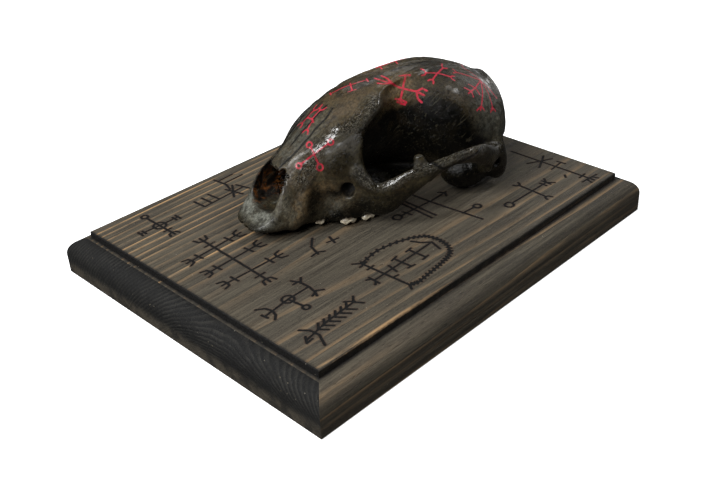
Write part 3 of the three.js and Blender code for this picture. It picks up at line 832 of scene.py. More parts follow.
def coarse(points, path, reach):
    """How far a point lies in a rough band along a path."""
    p = points.copy()
    p[:, 1] = np.abs(p[:, 1])
    rows = eased(path, 4)
    best = np.full(len(p), 99.0)
    for a, b in zip(rows[:-1], rows[1:]):
        along = b - a
        t = np.clip((p - a) @ along / (along @ along), 0, 1)
        best = np.minimum(best, np.linalg.norm(p - a - t[:, None] * along, axis=1))
    return np.clip(1.25 - best / reach, 0, 1)


def inside_nose(points):
    """1 on the walls of the nose above its sill."""
    room = loft(NOSE_CAVITY)[2](*uneven(*points.T))
    above_sill = np.clip((points[:, 2] - 9) / 1.2, 0, 1)
    behind_rim = np.clip((points[:, 0] - 4.5) / 3, 0, 1)
    return np.clip(1.3 - room / 0.5, 0, 1) * above_sill * behind_rim


def openness(field, points, normals):
    """1 on open ground and 0 deep in a hollow."""
    total = np.zeros(len(points))
    for reach, weight in ((1.5, 0.3), (4, 0.4), (9, 0.3)):
        total += weight * np.clip(field(*(points + normals * reach).T) / reach, 0, 1)
    return total


# Node helpers

class Graph:
    """Short calls for adding and joining nodes in one tree."""

    def __init__(self, tree):
        self.tree = tree

    def node(self, kind, inputs=None, **settings):
        n = self.tree.nodes.new(kind)
        for key, value in settings.items():
            setattr(n, key, value)
        for key, value in (inputs or {}).items():
            self.feed(n.inputs[key], value)
        return n

    def feed(self, socket, value):
        """Links a socket, or sets a plain value on it."""
        if isinstance(value, bpy.types.NodeSocket):
            self.tree.links.new(value, socket)
        else:
            socket.default_value = value

    def math(self, operation, a, b=0.0, clamp=False):
        return self.node("ShaderNodeMath", {0: a, 1: b}, operation=operation, use_clamp=clamp).outputs[0]

    def plus(self, a, b, clamp=False):
        return self.math("ADD", a, b, clamp)

    def minus(self, a, b, clamp=False):
        return self.math("SUBTRACT", a, b, clamp)

    def times(self, a, b, clamp=False):
        return self.math("MULTIPLY", a, b, clamp)

    def over(self, a, b, clamp=False):
        return self.math("DIVIDE", a, b, clamp)

    def total(self, *parts):
        """The sum of (value, weight) pairs."""
        value = self.times(*parts[0])
        for part, weight in parts[1:]:
            value = self.plus(value, self.times(part, weight))
        return value

    def swing(self, value, amount):
        """A noise of 0 to 1 as a swing about zero."""
        return self.times(self.minus(value, 0.5), amount)

    def span(self, value, low, high, out_low=0.0, out_high=1.0):
        """Maps a value from low..high to out_low..out_high in a soft step, held at the ends."""
        inputs = {"Value": value, "From Min": low, "From Max": high, "To Min": out_low, "To Max": out_high}
        return self.node("ShaderNodeMapRange", inputs, interpolation_type="SMOOTHSTEP").outputs[0]

    def mix(self, factor, a, b, blend="MIX"):
        inputs = {0: factor, 6: a, 7: b}
        return self.node("ShaderNodeMix", inputs, data_type="RGBA", blend_type=blend).outputs[2]

    def layer(self, base, tone, mask, strength):
        """Lays a tone over the base as far as the mask and its strength say."""
        return self.mix(self.times(mask, strength), base, tone)

    def noise(self, vector, scale, detail=3.0, rough=0.55, distortion=0.0):
        inputs = {"Vector": vector, "Scale": scale, "Detail": detail, "Roughness": rough}
        return self.node("ShaderNodeTexNoise", inputs | {"Distortion": distortion}).outputs[0]

    def grain(self, vector, along, across, detail=3.0, rough=0.55, distortion=0.0, shift=(0, 0, 0)):
        """A noise drawn out along the first axis, with its scale along and across that axis."""
        drawn = self.place(vector, scale=(along, across, across), shift=shift)
        return self.noise(drawn, 1.0, detail, rough, distortion)

    def place(self, vector, scale=(1, 1, 1), turn=(0, 0, 0), shift=(0, 0, 0)):
        inputs = {"Vector": vector, "Scale": scale, "Rotation": turn, "Location": shift}
        return self.node("ShaderNodeMapping", inputs).outputs[0]

    def split(self, vector):
        return self.node("ShaderNodeSeparateXYZ", {0: vector}).outputs

    def attribute(self, name):
        return self.node("ShaderNodeAttribute", attribute_name=name).outputs["Fac"]

    def millimetres(self):
        """Object coordinates in millimetres."""
        place = self.node("ShaderNodeTexCoord").outputs["Object"]
        return self.node("ShaderNodeVectorMath", {0: place, "Scale": 1 / MM}, operation="SCALE").outputs[0]

    def group(self, tree, **inputs):
        n = self.node("ShaderNodeGroup", node_tree=tree)
        for key, value in inputs.items():
            self.feed(n.inputs[key], value)
        return n


def new_group(name, sizes, results):
    """A shader group with a Vector and named sizes for inputs, and floats for results."""
    tree = bpy.data.node_groups.new(name, "ShaderNodeTree")
    tree.interface.new_socket("Vector", in_out="INPUT", socket_type="NodeSocketVector")
    for key, value in sizes.items():
        tree.interface.new_socket(key, in_out="INPUT", socket_type="NodeSocketFloat").default_value = value
    for key in results:
        tree.interface.new_socket(key, in_out="OUTPUT", socket_type="NodeSocketFloat")
    g = Graph(tree)
    return tree, g, g.node("NodeGroupInput").outputs, g.node("NodeGroupOutput").inputs


def colour(r, g, b):
    """A display colour of 0 to 255 as linear light."""
    dim = [c / 255 for c in (r, g, b)]
    return tuple(c / 12.92 if c <= 0.04 else ((c + 0.055) / 1.055) ** 2.4 for c in dim) + (1.0,)


def cells_of(g, given):
    """Round cells of the group's size."""
    inputs = {"Vector": given["Vector"], "Scale": g.over(1.0, given["Size"]), "Randomness": 1.0}
    return g.node("ShaderNodeTexVoronoi", inputs).outputs


def make_cloudy():
    sizes = {"Size": 10.0, "Middle": 0.5, "Softness": 0.1}
    tree, g, given, result = new_group("cloudy patches", sizes, ["Mask"])
    value = g.noise(given["Vector"], g.over(1.0, given["Size"]), 6.0, 0.62, 0.4)
    low = g.minus(given["Middle"], given["Softness"])
    high = g.plus(given["Middle"], given["Softness"])
    g.feed(result["Mask"], g.span(value, low, high))
    return tree


def make_pores():
    tree, g, given, result = new_group("fine pores", {"Size": 1.0, "Width": 0.3}, ["Mask", "Depth"])
    chosen = g.span(g.noise(given["Vector"], g.over(0.35, given["Size"]), 2.0), 0.42, 0.6)
    mask = g.times(g.span(cells_of(g, given)["Distance"], given["Width"], 0.0), chosen)
    g.feed(result["Mask"], mask)
    g.feed(result["Depth"], g.times(mask, -1.0))
    return tree


def make_specks():
    tree, g, given, result = new_group("pale specks", {"Size": 2.0, "Share": 0.1}, ["Mask"])
    cells = cells_of(g, given)
    chosen = g.math("LESS_THAN", g.split(cells["Color"])[0], given["Share"])
    g.feed(result["Mask"], g.times(g.span(cells["Distance"], 0.11, 0.05), chosen))
    return tree


CLOUDY = make_cloudy()
PORES = make_pores()
SPECKS = make_specks()


def new_material(name):
    material = bpy.data.materials.new(name)
    material.use_nodes = True
    g = Graph(material.node_tree)
    shader = material.node_tree.nodes["Principled BSDF"]
    return material, g, shader


def bump(g, height):
    """A normal from a height in millimetres."""
    return g.node("ShaderNodeBump", {"Height": height, "Distance": MM, "Strength": 1.0}).outputs[0]


# Tones of the bone

DEEP_BONE, WORN_BONE = colour(28, 25, 16), colour(58, 52, 36)
BLOT_BONE, SPOT_BONE = colour(56, 48, 31), colour(16, 14, 11)
TAN_BONE, GREY_AND_SHEEN_BONE, STAIN_AND_SHADE_BLACK = colour(84, 68, 45), colour(104, 105, 97), colour(4, 4, 3)
NOSE_SHADE, NOSE_GLOW = colour(7, 5, 3), colour(80, 46, 16)
HOLLOW_SHADE, BONE_PORE, SEAM_BLACK = colour(5, 4, 4), colour(7, 6, 5), colour(5, 4, 3)
DARK_FIBRE, PALE_FIBRE = colour(9, 8, 6), colour(78, 73, 58)
BAND_GLINT, BAND_PIT = colour(138, 134, 122), colour(12, 11, 9)
DEEP_RED, RED = colour(146, 22, 40), colour(198, 46, 68)
GRAIN_RISE = math.radians(35)

# Tones of the teeth and of the scrolls in the nose

PALE_ENAMEL, WARM_ENAMEL = colour(232, 226, 208), colour(198, 184, 154)
TOOTH_STAIN, TOOTH_NECK, TOOTH_CRACK = colour(86, 62, 38), colour(50, 37, 24), colour(40, 28, 18)
DEEP_SCROLL, AMBER_SCROLL = colour(9, 6, 4), colour(62, 35, 12)
SCROLL_PORE, SCROLL_SHADE = colour(12, 8, 5), colour(10, 7, 4)

# Tones of the wood, and its growth rings in millimetres: how far the pith lies to one side of the board's
# middle and below its back, how it slants, the widths of the rings and of the arcs on the ends,
# and how far to that side the strip with the faintest lines runs

DARK_WOOD, GREY_WOOD, DULL_WOOD = colour(42, 39, 33), colour(84, 78, 66), colour(57, 53, 47)
WARM_WOOD, RING_LINE, PALE_FLECK = colour(108, 94, 76), colour(172, 138, 97), colour(112, 102, 84)
WOOD_THREAD, WOOD_PORE = colour(26, 23, 19), colour(26, 22, 18)
BLACK_END, GREY_END = colour(13, 13, 13), colour(38, 37, 34)
END_SOOT, RUBBED_END, STEP_SHADOW_BLACK = colour(12, 12, 11), colour(72, 66, 56), colour(9, 8, 8)
SCORCH_BROWN, BURNT_BLACK = colour(58, 36, 20), colour(3, 3, 3)
PALE_DUST, PALE_CHIP = colour(176, 168, 152), colour(150, 140, 118)
PITH_ASIDE = 25.0
PITH_BELOW = 40.0
PITH_SLANT = 0.01
RING_WIDTH = 2.8
ARC_WIDTH = 1.35
CALM_ASIDE = 23.0


def bone_material():
    material, g, shader = new_material("varnished_bone")
    p = g.millimetres()
    broad = g.group(CLOUDY, Vector=p, Size=13.0, Middle=0.5, Softness=0.12).outputs["Mask"]
    shifted = g.place(p, shift=(-8, 40, 3))
    blot = g.group(CLOUDY, Vector=shifted, Size=5.5, Middle=0.5, Softness=0.07).outputs["Mask"]
    shifted = g.place(p, shift=(31, 7, 12))
    small = g.group(CLOUDY, Vector=shifted, Size=2.4, Middle=0.52, Softness=0.08).outputs["Mask"]
    tan, grey_and_sheen, stain_and_shade = g.attribute("tan"), g.attribute("grey_and_sheen"), g.attribute("stain_and_shade")
    band, open_ground = g.attribute("coarse"), g.attribute("open_ground")

    # Stains, with painted shade, painted sheen and a painted glow in the nose
    base = g.mix(broad, DEEP_BONE, WORN_BONE)
    base = g.layer(base, BLOT_BONE, blot, 0.35)
    base = g.layer(base, SPOT_BONE, small, 0.5)
    warm = g.times(tan, g.span(g.plus(blot, g.times(small, 0.6)), 0.1, 1.4, 0.3, 1.0), clamp=True)
    base = g.mix(warm, base, TAN_BONE)
    # Grey tone together with painted sheen
    base = g.layer(base, GREY_AND_SHEEN_BONE, grey_and_sheen, g.span(small, 0.0, 1.0, 0.9, 0.35))
    # Black patches: dark staining together with painted shade, and painted shade on the right of the snout
    base = g.layer(base, STAIN_AND_SHADE_BLACK, stain_and_shade, g.span(blot, 0.0, 1.0, 1.0, 0.88))
    # Inside the nose: painted shade, with patches of painted amber glow where light shines through the thin
    # bone
    nose_shade_and_glow = g.mix(g.times(blot, small), NOSE_SHADE, NOSE_GLOW)
    base = g.mix(g.attribute("nose_inside"), base, nose_shade_and_glow)
    # Painted shade that darkens the bone deep in hollows
    base = g.mix(g.span(open_ground, 0.74, 0.34, 0.0, 0.97), base, HOLLOW_SHADE)
    mottle = g.span(g.noise(p, 0.95, 5.0, 0.72), 0.32, 0.68, 0.42, 1.45)
    mottle = g.node("ShaderNodeCombineColor", {0: mottle, 1: mottle, 2: mottle}).outputs[0]
    base = g.mix(1.0, base, mottle, "MULTIPLY")

    # Grain that runs back along the skull, and the coarse band over the brow
    level = g.place(g.place(p, turn=(0, 0, -SKULL_TURN)), turn=(0, GRAIN_RISE, 0))
    streak = g.grain(level, 0.9, 2.4, 3.0, 0.6, 0.8)
    grain = g.grain(level, 0.7, 1.5, 3.0, 0.7, 0.5)
    fibre = g.grain(level, 0.13, 1.5, 4.0, 0.62, 0.3)
    base = g.mix(g.span(fibre, 0.57, 0.68, 0.0, 0.6), base, DARK_FIBRE)
    base = g.mix(g.span(fibre, 0.42, 0.33, 0.0, 0.35), base, PALE_FIBRE)
    grit = g.span(g.plus(streak, g.noise(p, 2.1, 2.0, 0.6)), 0.98, 1.16)
    # Painted glints of highlight along the coarse band
    base = g.layer(base, BAND_GLINT, g.times(grit, band), 0.55)
    pits = g.times(g.span(band, 0.3, 0.9), g.span(grain, 0.5, 0.42))
    base = g.layer(base, BAND_PIT, pits, 0.75)

    # Pores and seams
    fine = g.group(PORES, Vector=p, Size=0.7, Width=0.36).outputs
    wide = g.group(PORES, Vector=g.place(p, shift=(5, 9, 2)), Size=1.6, Width=0.2).outputs
    base = g.layer(base, BONE_PORE, g.math("MAXIMUM", fine["Mask"], wide["Mask"]), 0.7)
    wander = g.swing(g.noise(p, 0.75, 4.0, 0.65), 1.1)
    seam = g.math("ABSOLUTE", g.plus(g.attribute("seam_side"), wander))
    seam = g.times(g.span(seam, 0.6, 0.2), g.span(g.attribute("seam_far"), 1.6, 1.1))
    base = g.layer(base, SEAM_BLACK, seam, 0.95)

    # Red paint, worn off in places
    brush = g.plus(g.attribute("red_paint"), g.swing(g.noise(p, 1.6, 3.0), 0.4))
    wear = g.span(g.noise(p, 0.9, 4.0, 0.7), 0.32, 0.54, 0.3, 0.93)
    red = g.mix(g.noise(p, 0.5, 2.0), DEEP_RED, RED)
    base = g.layer(base, red, g.span(brush, 0.06, -0.14), wear)
    g.feed(shader.inputs["Base Color"], base)

    # Gloss
    rough = g.span(g.noise(p, 0.5, 5.0, 0.7), 0.3, 0.7, 0.28, 0.52)
    polish = g.times(g.span(grit, 0.0, 1.0, 0.5, 1.0), g.span(band, 0.35, 1.0))
    rough = g.math("MAXIMUM", g.minus(rough, g.times(polish, 0.4)), 0.08)
    rough = g.plus(rough, g.span(open_ground, 0.72, 0.3, 0.0, 0.3))
    rough = g.times(rough, g.span(stain_and_shade, 0.0, 0.8, 1.0, 0.55))
    g.feed(shader.inputs["Roughness"], rough)
    shader.inputs["Specular IOR Level"].default_value = 0.22
    varnish = g.span(g.noise(p, 0.35, 4.0, 0.7), 0.4, 0.62, 0.04, 0.25)
    varnish = g.times(varnish, g.span(stain_and_shade, 0.2, 0.9, 1.0, 0.0))
    off_band = g.times(varnish, g.span(band, 0.1, 0.6, 1.0, 0.0))
    on_band = g.times(g.span(band, 0.45, 1.0), g.span(grain, 0.46, 0.54))
    varnish = g.math("MAXIMUM", off_band, on_band)
    g.feed(shader.inputs["Coat Weight"], g.times(varnish, g.span(open_ground, 0.4, 0.75)))
    shader.inputs["Coat Roughness"].default_value = 0.13

    # Relief
    crumb = g.plus(streak, g.noise(p, 1.7, 4.0, 0.68, 0.5))
    ridged = g.times(g.plus(crumb, g.times(grain, 2.0)), band)
    height = g.total(
        (g.noise(p, 0.16, 3.0, 0.5), 0.35), (g.noise(p, 0.7, 5.0, 0.7), 0.24),
        (ridged, 0.75), (crumb, 0.13), (fine["Depth"], g.span(band, 0.0, 1.0, 0.1, 0.24)),
        (wide["Depth"], 0.16), (seam, -0.2))
    g.feed(shader.inputs["Normal"], bump(g, height))
    return material


def enamel_material():
    material, g, shader = new_material("tooth_enamel")
    p = g.millimetres()
    up = g.plus(g.split(p)[2], g.times(g.noise(p, 0.8, 3.0), 1.6))
    neck = g.span(up, 21.9, 24.4)
    darkening = g.group(CLOUDY, Vector=p, Size=2.2, Middle=0.55, Softness=0.12).outputs["Mask"]
    base = g.mix(g.noise(p, 0.5, 3.0), PALE_ENAMEL, WARM_ENAMEL)
    base = g.layer(base, TOOTH_STAIN, darkening, 0.55)
    base = g.layer(base, TOOTH_NECK, neck, 0.9)
    cells = {"Vector": g.place(p, scale=(1, 1, 0.35)), "Scale": 0.8}
    crack = g.node("ShaderNodeTexVoronoi", cells, feature="DISTANCE_TO_EDGE").outputs["Distance"]
    base = g.mix(g.span(crack, 0.035, 0.0, 0.0, 0.5), base, TOOTH_CRACK)
    g.feed(shader.inputs["Base Color"], base)
    g.feed(shader.inputs["Roughness"], g.span(darkening, 0.0, 1.0, 0.22, 0.45))
    pores = g.group(PORES, Vector=p, Size=0.5, Width=0.3).outputs["Depth"]
    g.feed(shader.inputs["Normal"], bump(g, g.total((g.noise(p, 1.1, 3.0), 0.12), (pores, 0.03))))
    shader.inputs["Coat Weight"].default_value = 0.2
    shader.inputs["Coat Roughness"].default_value = 0.12
    return material


def nose_plate_material():
    material, g, shader = new_material("amber_nose_bone")
    p = g.millimetres()
    cloud = g.group(CLOUDY, Vector=p, Size=4.5, Middle=0.48, Softness=0.14).outputs["Mask"]
    base = g.mix(cloud, DEEP_SCROLL, AMBER_SCROLL)
    base = g.mix(g.group(PORES, Vector=p, Size=0.9, Width=0.3).outputs["Mask"], base, SCROLL_PORE)
    # Painted shade, darker deeper in the nose
    deep_inside = g.span(g.split(p)[0], -34.0, -24.0, 0.0, 0.7)
    base = g.mix(deep_inside, base, SCROLL_SHADE)
    g.feed(shader.inputs["Base Color"], base)
    g.feed(shader.inputs["Roughness"], g.span(g.noise(p, 0.8), 0.3, 0.7, 0.35, 0.6))
    g.feed(shader.inputs["Normal"], bump(g, g.times(g.noise(p, 1.3, 4.0), 0.2)))
    shader.inputs["Coat Weight"].default_value = 0.15
    shader.inputs["Coat Roughness"].default_value = 0.2
    return material


def wood_material():
    material, g, shader = new_material("stained_wood")
    p = g.millimetres()
    x, y, z = g.split(p)

    # Growth rings about the pith, which lies beside the middle of the board and below it
    across = g.plus(y, PITH_ASIDE)
    down = g.plus(z, PITH_BELOW)
    radius = g.math("SQRT", g.plus(g.times(across, across), g.times(down, down)))
    radius = g.minus(radius, g.times(x, PITH_SLANT))
    radius = g.plus(radius, g.swing(g.grain(p, 0.005, 0.035, 3.0, 0.5), 3.4))
    radius = g.plus(radius, g.swing(g.grain(p, 0.003, 0.012, 2.0, 0.5, shift=(3, 1, 8)), 6.0))
    radius = g.plus(radius, g.swing(g.grain(p, 0.02, 0.3, 2.0), 0.5))
    rings = g.over(radius, RING_WIDTH)
    within = g.math("FRACT", rings)
    which = {"W": g.math("FLOOR", rings)}
    luck = g.node("ShaderNodeTexWhiteNoise", which, noise_dimensions="1D").outputs["Value"]
    line = g.times(g.span(within, 0.66, 0.93), g.span(within, 1.0, 0.97))
    fade = g.span(g.grain(p, 0.02, 0.2, 4.0, 0.65, shift=(9, 2, 5)), 0.34, 0.56)
    calm = g.span(g.math("ABSOLUTE", g.plus(y, CALM_ASIDE)), 5.0, 15.0, 0.25, 1.0)
    line = g.times(line, g.times(g.times(g.span(luck, 0.25, 0.9, 0.12, 1.0), fade), calm))

    # Stain on the long grain
    thin = g.grain(p, 0.02, 0.85, 5.0, 0.66)
    threads = g.grain(p, 0.09, 3.6, 3.0, 0.6, shift=(2, 2, 2))
    base = g.mix(g.span(thin, 0.28, 0.72), DARK_WOOD, GREY_WOOD)
    base = g.layer(base, WARM_WOOD, g.times(g.span(within, 0.3, 0.9), calm), 0.3)
    cloud = g.grain(p, 0.02, 0.07, 4.0, 0.6, shift=(4, 4, 4))
    base = g.mix(g.span(cloud, 0.35, 0.7, 0.0, 0.55), base, DULL_WOOD)
    base = g.layer(base, WOOD_THREAD, g.span(threads, 0.48, 0.66), 0.42)
    base = g.layer(base, PALE_FLECK, g.span(g.noise(p, 2.2, 2.0, 0.7), 0.5, 0.72), 0.3)
    base = g.layer(base, RING_LINE, line, 0.92)
    dash = g.group(PORES, Vector=g.place(p, scale=(0.22, 1.9, 1.9)), Size=1.0, Width=0.36).outputs
    base = g.layer(base, WOOD_PORE, dash["Mask"], 0.65)

    # Dark ends, where the rings show as arcs
    way = g.split(g.node("ShaderNodeNewGeometry").outputs["True Normal"])
    end = g.span(g.math("ABSOLUTE", way[0]), 0.04, 0.2)
    arcs = g.span(g.math("FRACT", g.over(radius, ARC_WIDTH)), 0.3, 0.9)
    arcs = g.times(arcs, g.span(g.noise(p, 0.09, 3.0), 0.4, 0.6, 0.35, 1.0))
    dark_end = g.mix(arcs, BLACK_END, GREY_END)
    soot = g.span(g.grain(p, 0.12, 0.5), 0.3, 0.75)
    dark_end = g.layer(dark_end, END_SOOT, soot, 0.4)
    low_band = g.times(g.span(z, 7.5, 3.0), g.span(g.noise(p, 0.2, 3.0), 0.35, 0.6, 0.2, 0.7))
    dark_end = g.mix(low_band, dark_end, RUBBED_END)
    base = g.mix(end, base, dark_end)
    # Painted shadow in the corner of the step round the face
    patchy = g.span(g.noise(p, 0.3, 4.0, 0.65), 0.3, 0.65, 0.75, 1.0)
    edge = g.times(g.span(g.attribute("step_shadow"), 0.0, 1.0), patchy)
    base = g.layer(base, STEP_SHADOW_BLACK, edge, 0.94)

    # Burnt marks, pale dust and chips
    scorch = g.plus(g.attribute("burn"), g.swing(g.noise(p, 1.5, 3.0, 0.6), 0.4))
    base = g.mix(g.span(scorch, 1.25, 0.3, 0.0, 0.42), base, SCORCH_BROWN)
    base = g.mix(g.span(scorch, 0.55, 0.38), base, BURNT_BLACK)
    dust = g.group(SPECKS, Vector=p, Size=1.5, Share=0.05).outputs["Mask"]
    base = g.layer(base, PALE_DUST, dust, 0.75)
    flat = g.place(p, scale=(1, 1, 1.5), shift=(3, 8, 1))
    chips = g.group(SPECKS, Vector=flat, Size=1.7, Share=0.16).outputs["Mask"]
    chip_band = g.span(g.math("ABSOLUTE", g.minus(z, 11.0)), 5.0, 1.0, 0.1, 1.0)
    base = g.layer(base, PALE_CHIP, chips, g.times(end, chip_band))
    g.feed(shader.inputs["Base Color"], base)

    # Gloss and relief
    rough = g.minus(g.span(thin, 0.25, 0.75, 0.56, 0.76), g.times(line, 0.1))
    g.feed(shader.inputs["Roughness"], g.plus(rough, g.span(scorch, 0.62, 0.42, 0.0, 0.2), clamp=True))
    height = g.total(
        (thin, 0.3), (threads, 0.16), (line, 0.12), (dash["Depth"], 0.16),
        (g.times(g.noise(p, 1.6, 4.0, 0.7), end), 0.3), (g.times(g.noise(p, 0.9, 4.0, 0.7), edge), 0.5))
    g.feed(shader.inputs["Normal"], bump(g, height))
    shader.inputs["Specular IOR Level"].default_value = 0.25
    return material


BONE = bone_material()
ENAMEL = enamel_material()
NOSE_BONE = nose_plate_material()
WOOD = wood_material()


# Cranium

def build_cranium():
    points, faces = skin(cranium_field, (-4.1, -38.2, -1.9), (115.6, 38.2, 54.2), SKULL_STEP)
    points = settle(cranium_field, points)
    points, faces = finer(points, faces, lambda middle: red_paint(middle) < 0.8, PAINTED_EDGE)
    points = settle(cranium_field, points, 0.2)
    normals = outward(points, faces)
    signed, plain = seam_lines(points, normals)
    # The painted shade on the right of the snout joins the black patches, and its painted highlight line
    # joins the grey patches
    darkening, edge = painted_right_flank(points)
    band = np.maximum(coarse(points, COARSE_BAND, 3.6), 0.8 * coarse(points, ORBIT_RIM, 3.0))
    attributes = {
        "red_paint": red_paint(points, normals),
        "seam_side": signed,
        "seam_far": plain,
        "tan": patches(points, TAN_PATCHES),
        "stain_and_shade": np.maximum(patches(points, STAIN_AND_SHADE_PATCHES), darkening),
        "grey_and_sheen": np.maximum(patches(points, GREY_AND_SHEEN_PATCHES), 0.75 * edge),
        "nose_inside": inside_nose(points),
        "coarse": band,
        "open_ground": openness(cranium_field, points, normals)}
    obj = make_piece("cranium_bone", on_plaque(points), faces, BONE, attributes)
    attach(obj, "root")
    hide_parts("cranium")


# Thin scrolls of bone inside the nose

def nose_plates_field(x, y, z):
    """Rolled sheets of bone on both sides of a thin middle wall."""
    side = np.abs(y)
    out, up = side - SCROLL_MIDDLE[0], z - SCROLL_MIDDLE[1]
    wave = np.hypot(out, up * 0.72) * 1.9 + np.arctan2(up, out) * 0.9
    wave = wave + 0.5 * np.sin(x * 0.5 + z * 0.3) + 0.3 * np.sin(z * 0.9 + side)
    scroll = (np.abs(np.sin(wave)) - 0.24) / 1.9
    scroll_front = 20.5 + 1.8 * np.sin(z * 0.8 + side * 1.3) + 1.2 * np.sin(side * 2.3 + z * 0.37)
    wall = np.abs(y + 0.25 * np.sin(x * 0.35 + z * 0.2)) - 0.42
    wall_front = 17 + 0.16 * (z - 9) + 1.1 * np.sin(z * 1.1)
    d = np.minimum(np.maximum(scroll, scroll_front - x), np.maximum(wall, wall_front - x))
    d = np.maximum(d, loft(NOSE_CAVITY)[2](x, y, z) + 0.15)
    return np.maximum(np.maximum(d, x - SCROLL_BACK), SCROLL_FLOOR - z)


def build_nose_plates():
    points, faces = skin(nose_plates_field, (6.1, -9.3, 8.7), (28.2, 9.3, 31), SCROLL_STEP)
    obj = make_piece("nose_scrolls", on_plaque(points), faces, NOSE_BONE)
    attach(obj, "root")


def build_teeth():
    for name in TEETH:
        low, high, field = crown(name)
        points, faces = skin(field, [v - 0.6 for v in low], [v + 0.6 for v in high], TOOTH_STEP)
        points = settle(field, points, 0.1)
        for side, hand in (("right", 1), ("left", -1)):
            turned = points * np.array([1, hand, 1])
            corners = faces if hand == 1 else faces[:, ::-1]
            obj = make_piece(side + "_" + name + "_crown", on_plaque(turned), corners, ENAMEL)
            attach(obj, "root")
            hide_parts(side + "_" + name)


# Plaque: the faces along and across it, the sizes of its moulded edge, and the rows of the edge's profile
# that aren't on its quarter round: the foot, the eased edge, the band, the step and the rim

ALONG = 176
ACROSS = 134
EDGE_SIZES = {
    "Length": PLAQUE_LENGTH, "Width": PLAQUE_WIDTH, "Thickness": PLAQUE_THICKNESS,
    "Field Inset": FIELD_INSET, "Step Depth": STEP_DEPTH, "Band Height": BAND_HEIGHT,
    "Edge Ease": EDGE_EASE, "Rim Ease": RIM_EASE}
EDGE_COUNTS = {"Steps Along": ALONG, "Steps Across": ACROSS, "Round Steps": 10}
EXTRA_ROWS = 5.0

# The two sides of the barbed loop

BARBED_LEFT = [(-33.6, -33), (-23.7, -31.2), (-14.5, -32.6), (-7.5, -35.2), (-3.4, -38.4), (-2.1, -43.4)]
BARBED_RIGHT = [
    (-2.1, -43.4), (-3, -48.6), (-6.4, -53), (-11, -54.6), (-16.7, -55.6), (-22.9, -56.2), (-29, -57),
    (-32.4, -55.6)]


def routed_edge_tree():
    """Geometry nodes for the moulded edge: a profile carried round a rectangle with mitred corners."""
    tree = bpy.data.node_groups.new("routed edge", "GeometryNodeTree")
    kinds = dict.fromkeys(EDGE_SIZES, "Float") | dict.fromkeys(EDGE_COUNTS, "Int") | {"Finish": "Material"}
    for key, kind in kinds.items():
        tree.interface.new_socket(key, in_out="INPUT", socket_type="NodeSocket" + kind)
    tree.interface.new_socket("Geometry", in_out="OUTPUT", socket_type="NodeSocketGeometry")
    g = Graph(tree)
    given = g.node("NodeGroupInput").outputs
    along, across, round_steps = given["Steps Along"], given["Steps Across"], given["Round Steps"]
    rows = g.plus(round_steps, EXTRA_ROWS)
    half_way = g.plus(along, across)
    around = g.plus(g.times(half_way, 2.0), 1.0)
    counts = {"Vertices X": around, "Vertices Y": rows, "Size X": 1.0, "Size Y": 1.0}
    grid = g.node("GeometryNodeMeshGrid", counts)
    index = g.node("GeometryNodeInputIndex").outputs[0]
    k = g.math("FLOOR", g.over(g.plus(index, 0.5), rows))
    j = g.minus(index, g.times(k, rows))

    def run(start, count):
        return g.over(g.minus(k, start), count, clamp=True)

    def reached(start):
        return g.minus(j, start, clamp=True)

    # Where a point is along each side of the rectangle, from -1 to 1
    a = g.minus(run(0.0, along), run(half_way, along))
    b = g.minus(run(along, across), run(g.plus(half_way, along), across))
    a = g.minus(g.times(a, 2.0), 1.0)
    b = g.minus(g.times(b, 2.0), 1.0)

    # The profile from the foot up: eased edge, band, quarter round, step and eased rim
    angle = g.times(g.over(g.minus(j, 2.0), round_steps, clamp=True), math.pi / 2)
    step_row = g.plus(round_steps, 2.0)
    rim_row = g.plus(step_row, 1.0)
    band_rise = g.minus(given["Band Height"], given["Edge Ease"])
    round_rise = g.minus(g.minus(given["Thickness"], given["Step Depth"]), given["Band Height"])
    step_rise = g.minus(given["Step Depth"], given["Rim Ease"])
    inset = g.total(
        (given["Edge Ease"], g.minus(1.0, reached(0.0))),
        (given["Field Inset"], g.minus(1.0, g.math("COSINE", angle))),
        (given["Rim Ease"], reached(rim_row)))
    height = g.total(
        (given["Edge Ease"], reached(0.0)), (band_rise, reached(1.0)), (round_rise, g.math("SINE", angle)),
        (step_rise, reached(step_row)), (given["Rim Ease"], reached(rim_row)))
    px = g.times(a, g.minus(g.times(given["Length"], 0.5), inset))
    py = g.times(b, g.minus(g.times(given["Width"], 0.5), inset))
    place = g.node("ShaderNodeCombineXYZ", {0: px, 1: py, 2: height}).outputs[0]
    moved = g.node("GeometryNodeSetPosition", {"Geometry": grid.outputs["Mesh"], "Position": place})
    closed = g.node("GeometryNodeMergeByDistance", {"Geometry": moved.outputs[0], "Distance": 1e-6})
    real = g.node("GeometryNodeRealizeInstances", {"Geometry": closed.outputs[0]})
    finished = g.node("GeometryNodeSetMaterial", {"Geometry": real.outputs[0], "Material": given["Finish"]})
    g.feed(g.node("NodeGroupOutput").inputs[0], finished.outputs[0])
    return tree


def evaluated_mesh(obj):
    """The object's mesh with its modifiers applied."""
    return bpy.data.meshes.new_from_object(obj.evaluated_get(bpy.context.evaluated_depsgraph_get()))


def routed_edge():
    tree = routed_edge_tree()
    obj = new_object("routed_edge", bpy.data.meshes.new("routed_edge"))
    modifier = obj.modifiers.new("edge", "NODES")
    modifier.node_group = tree
    values = {key: size * MM for key, size in EDGE_SIZES.items()} | EDGE_COUNTS | {"Finish": WOOD}
    for item in tree.interface.items_tree:
        if item.in_out == "INPUT":
            modifier[item.identifier] = values[item.name]
    result = evaluated_mesh(obj)
    bpy.data.objects.remove(obj)
    return result


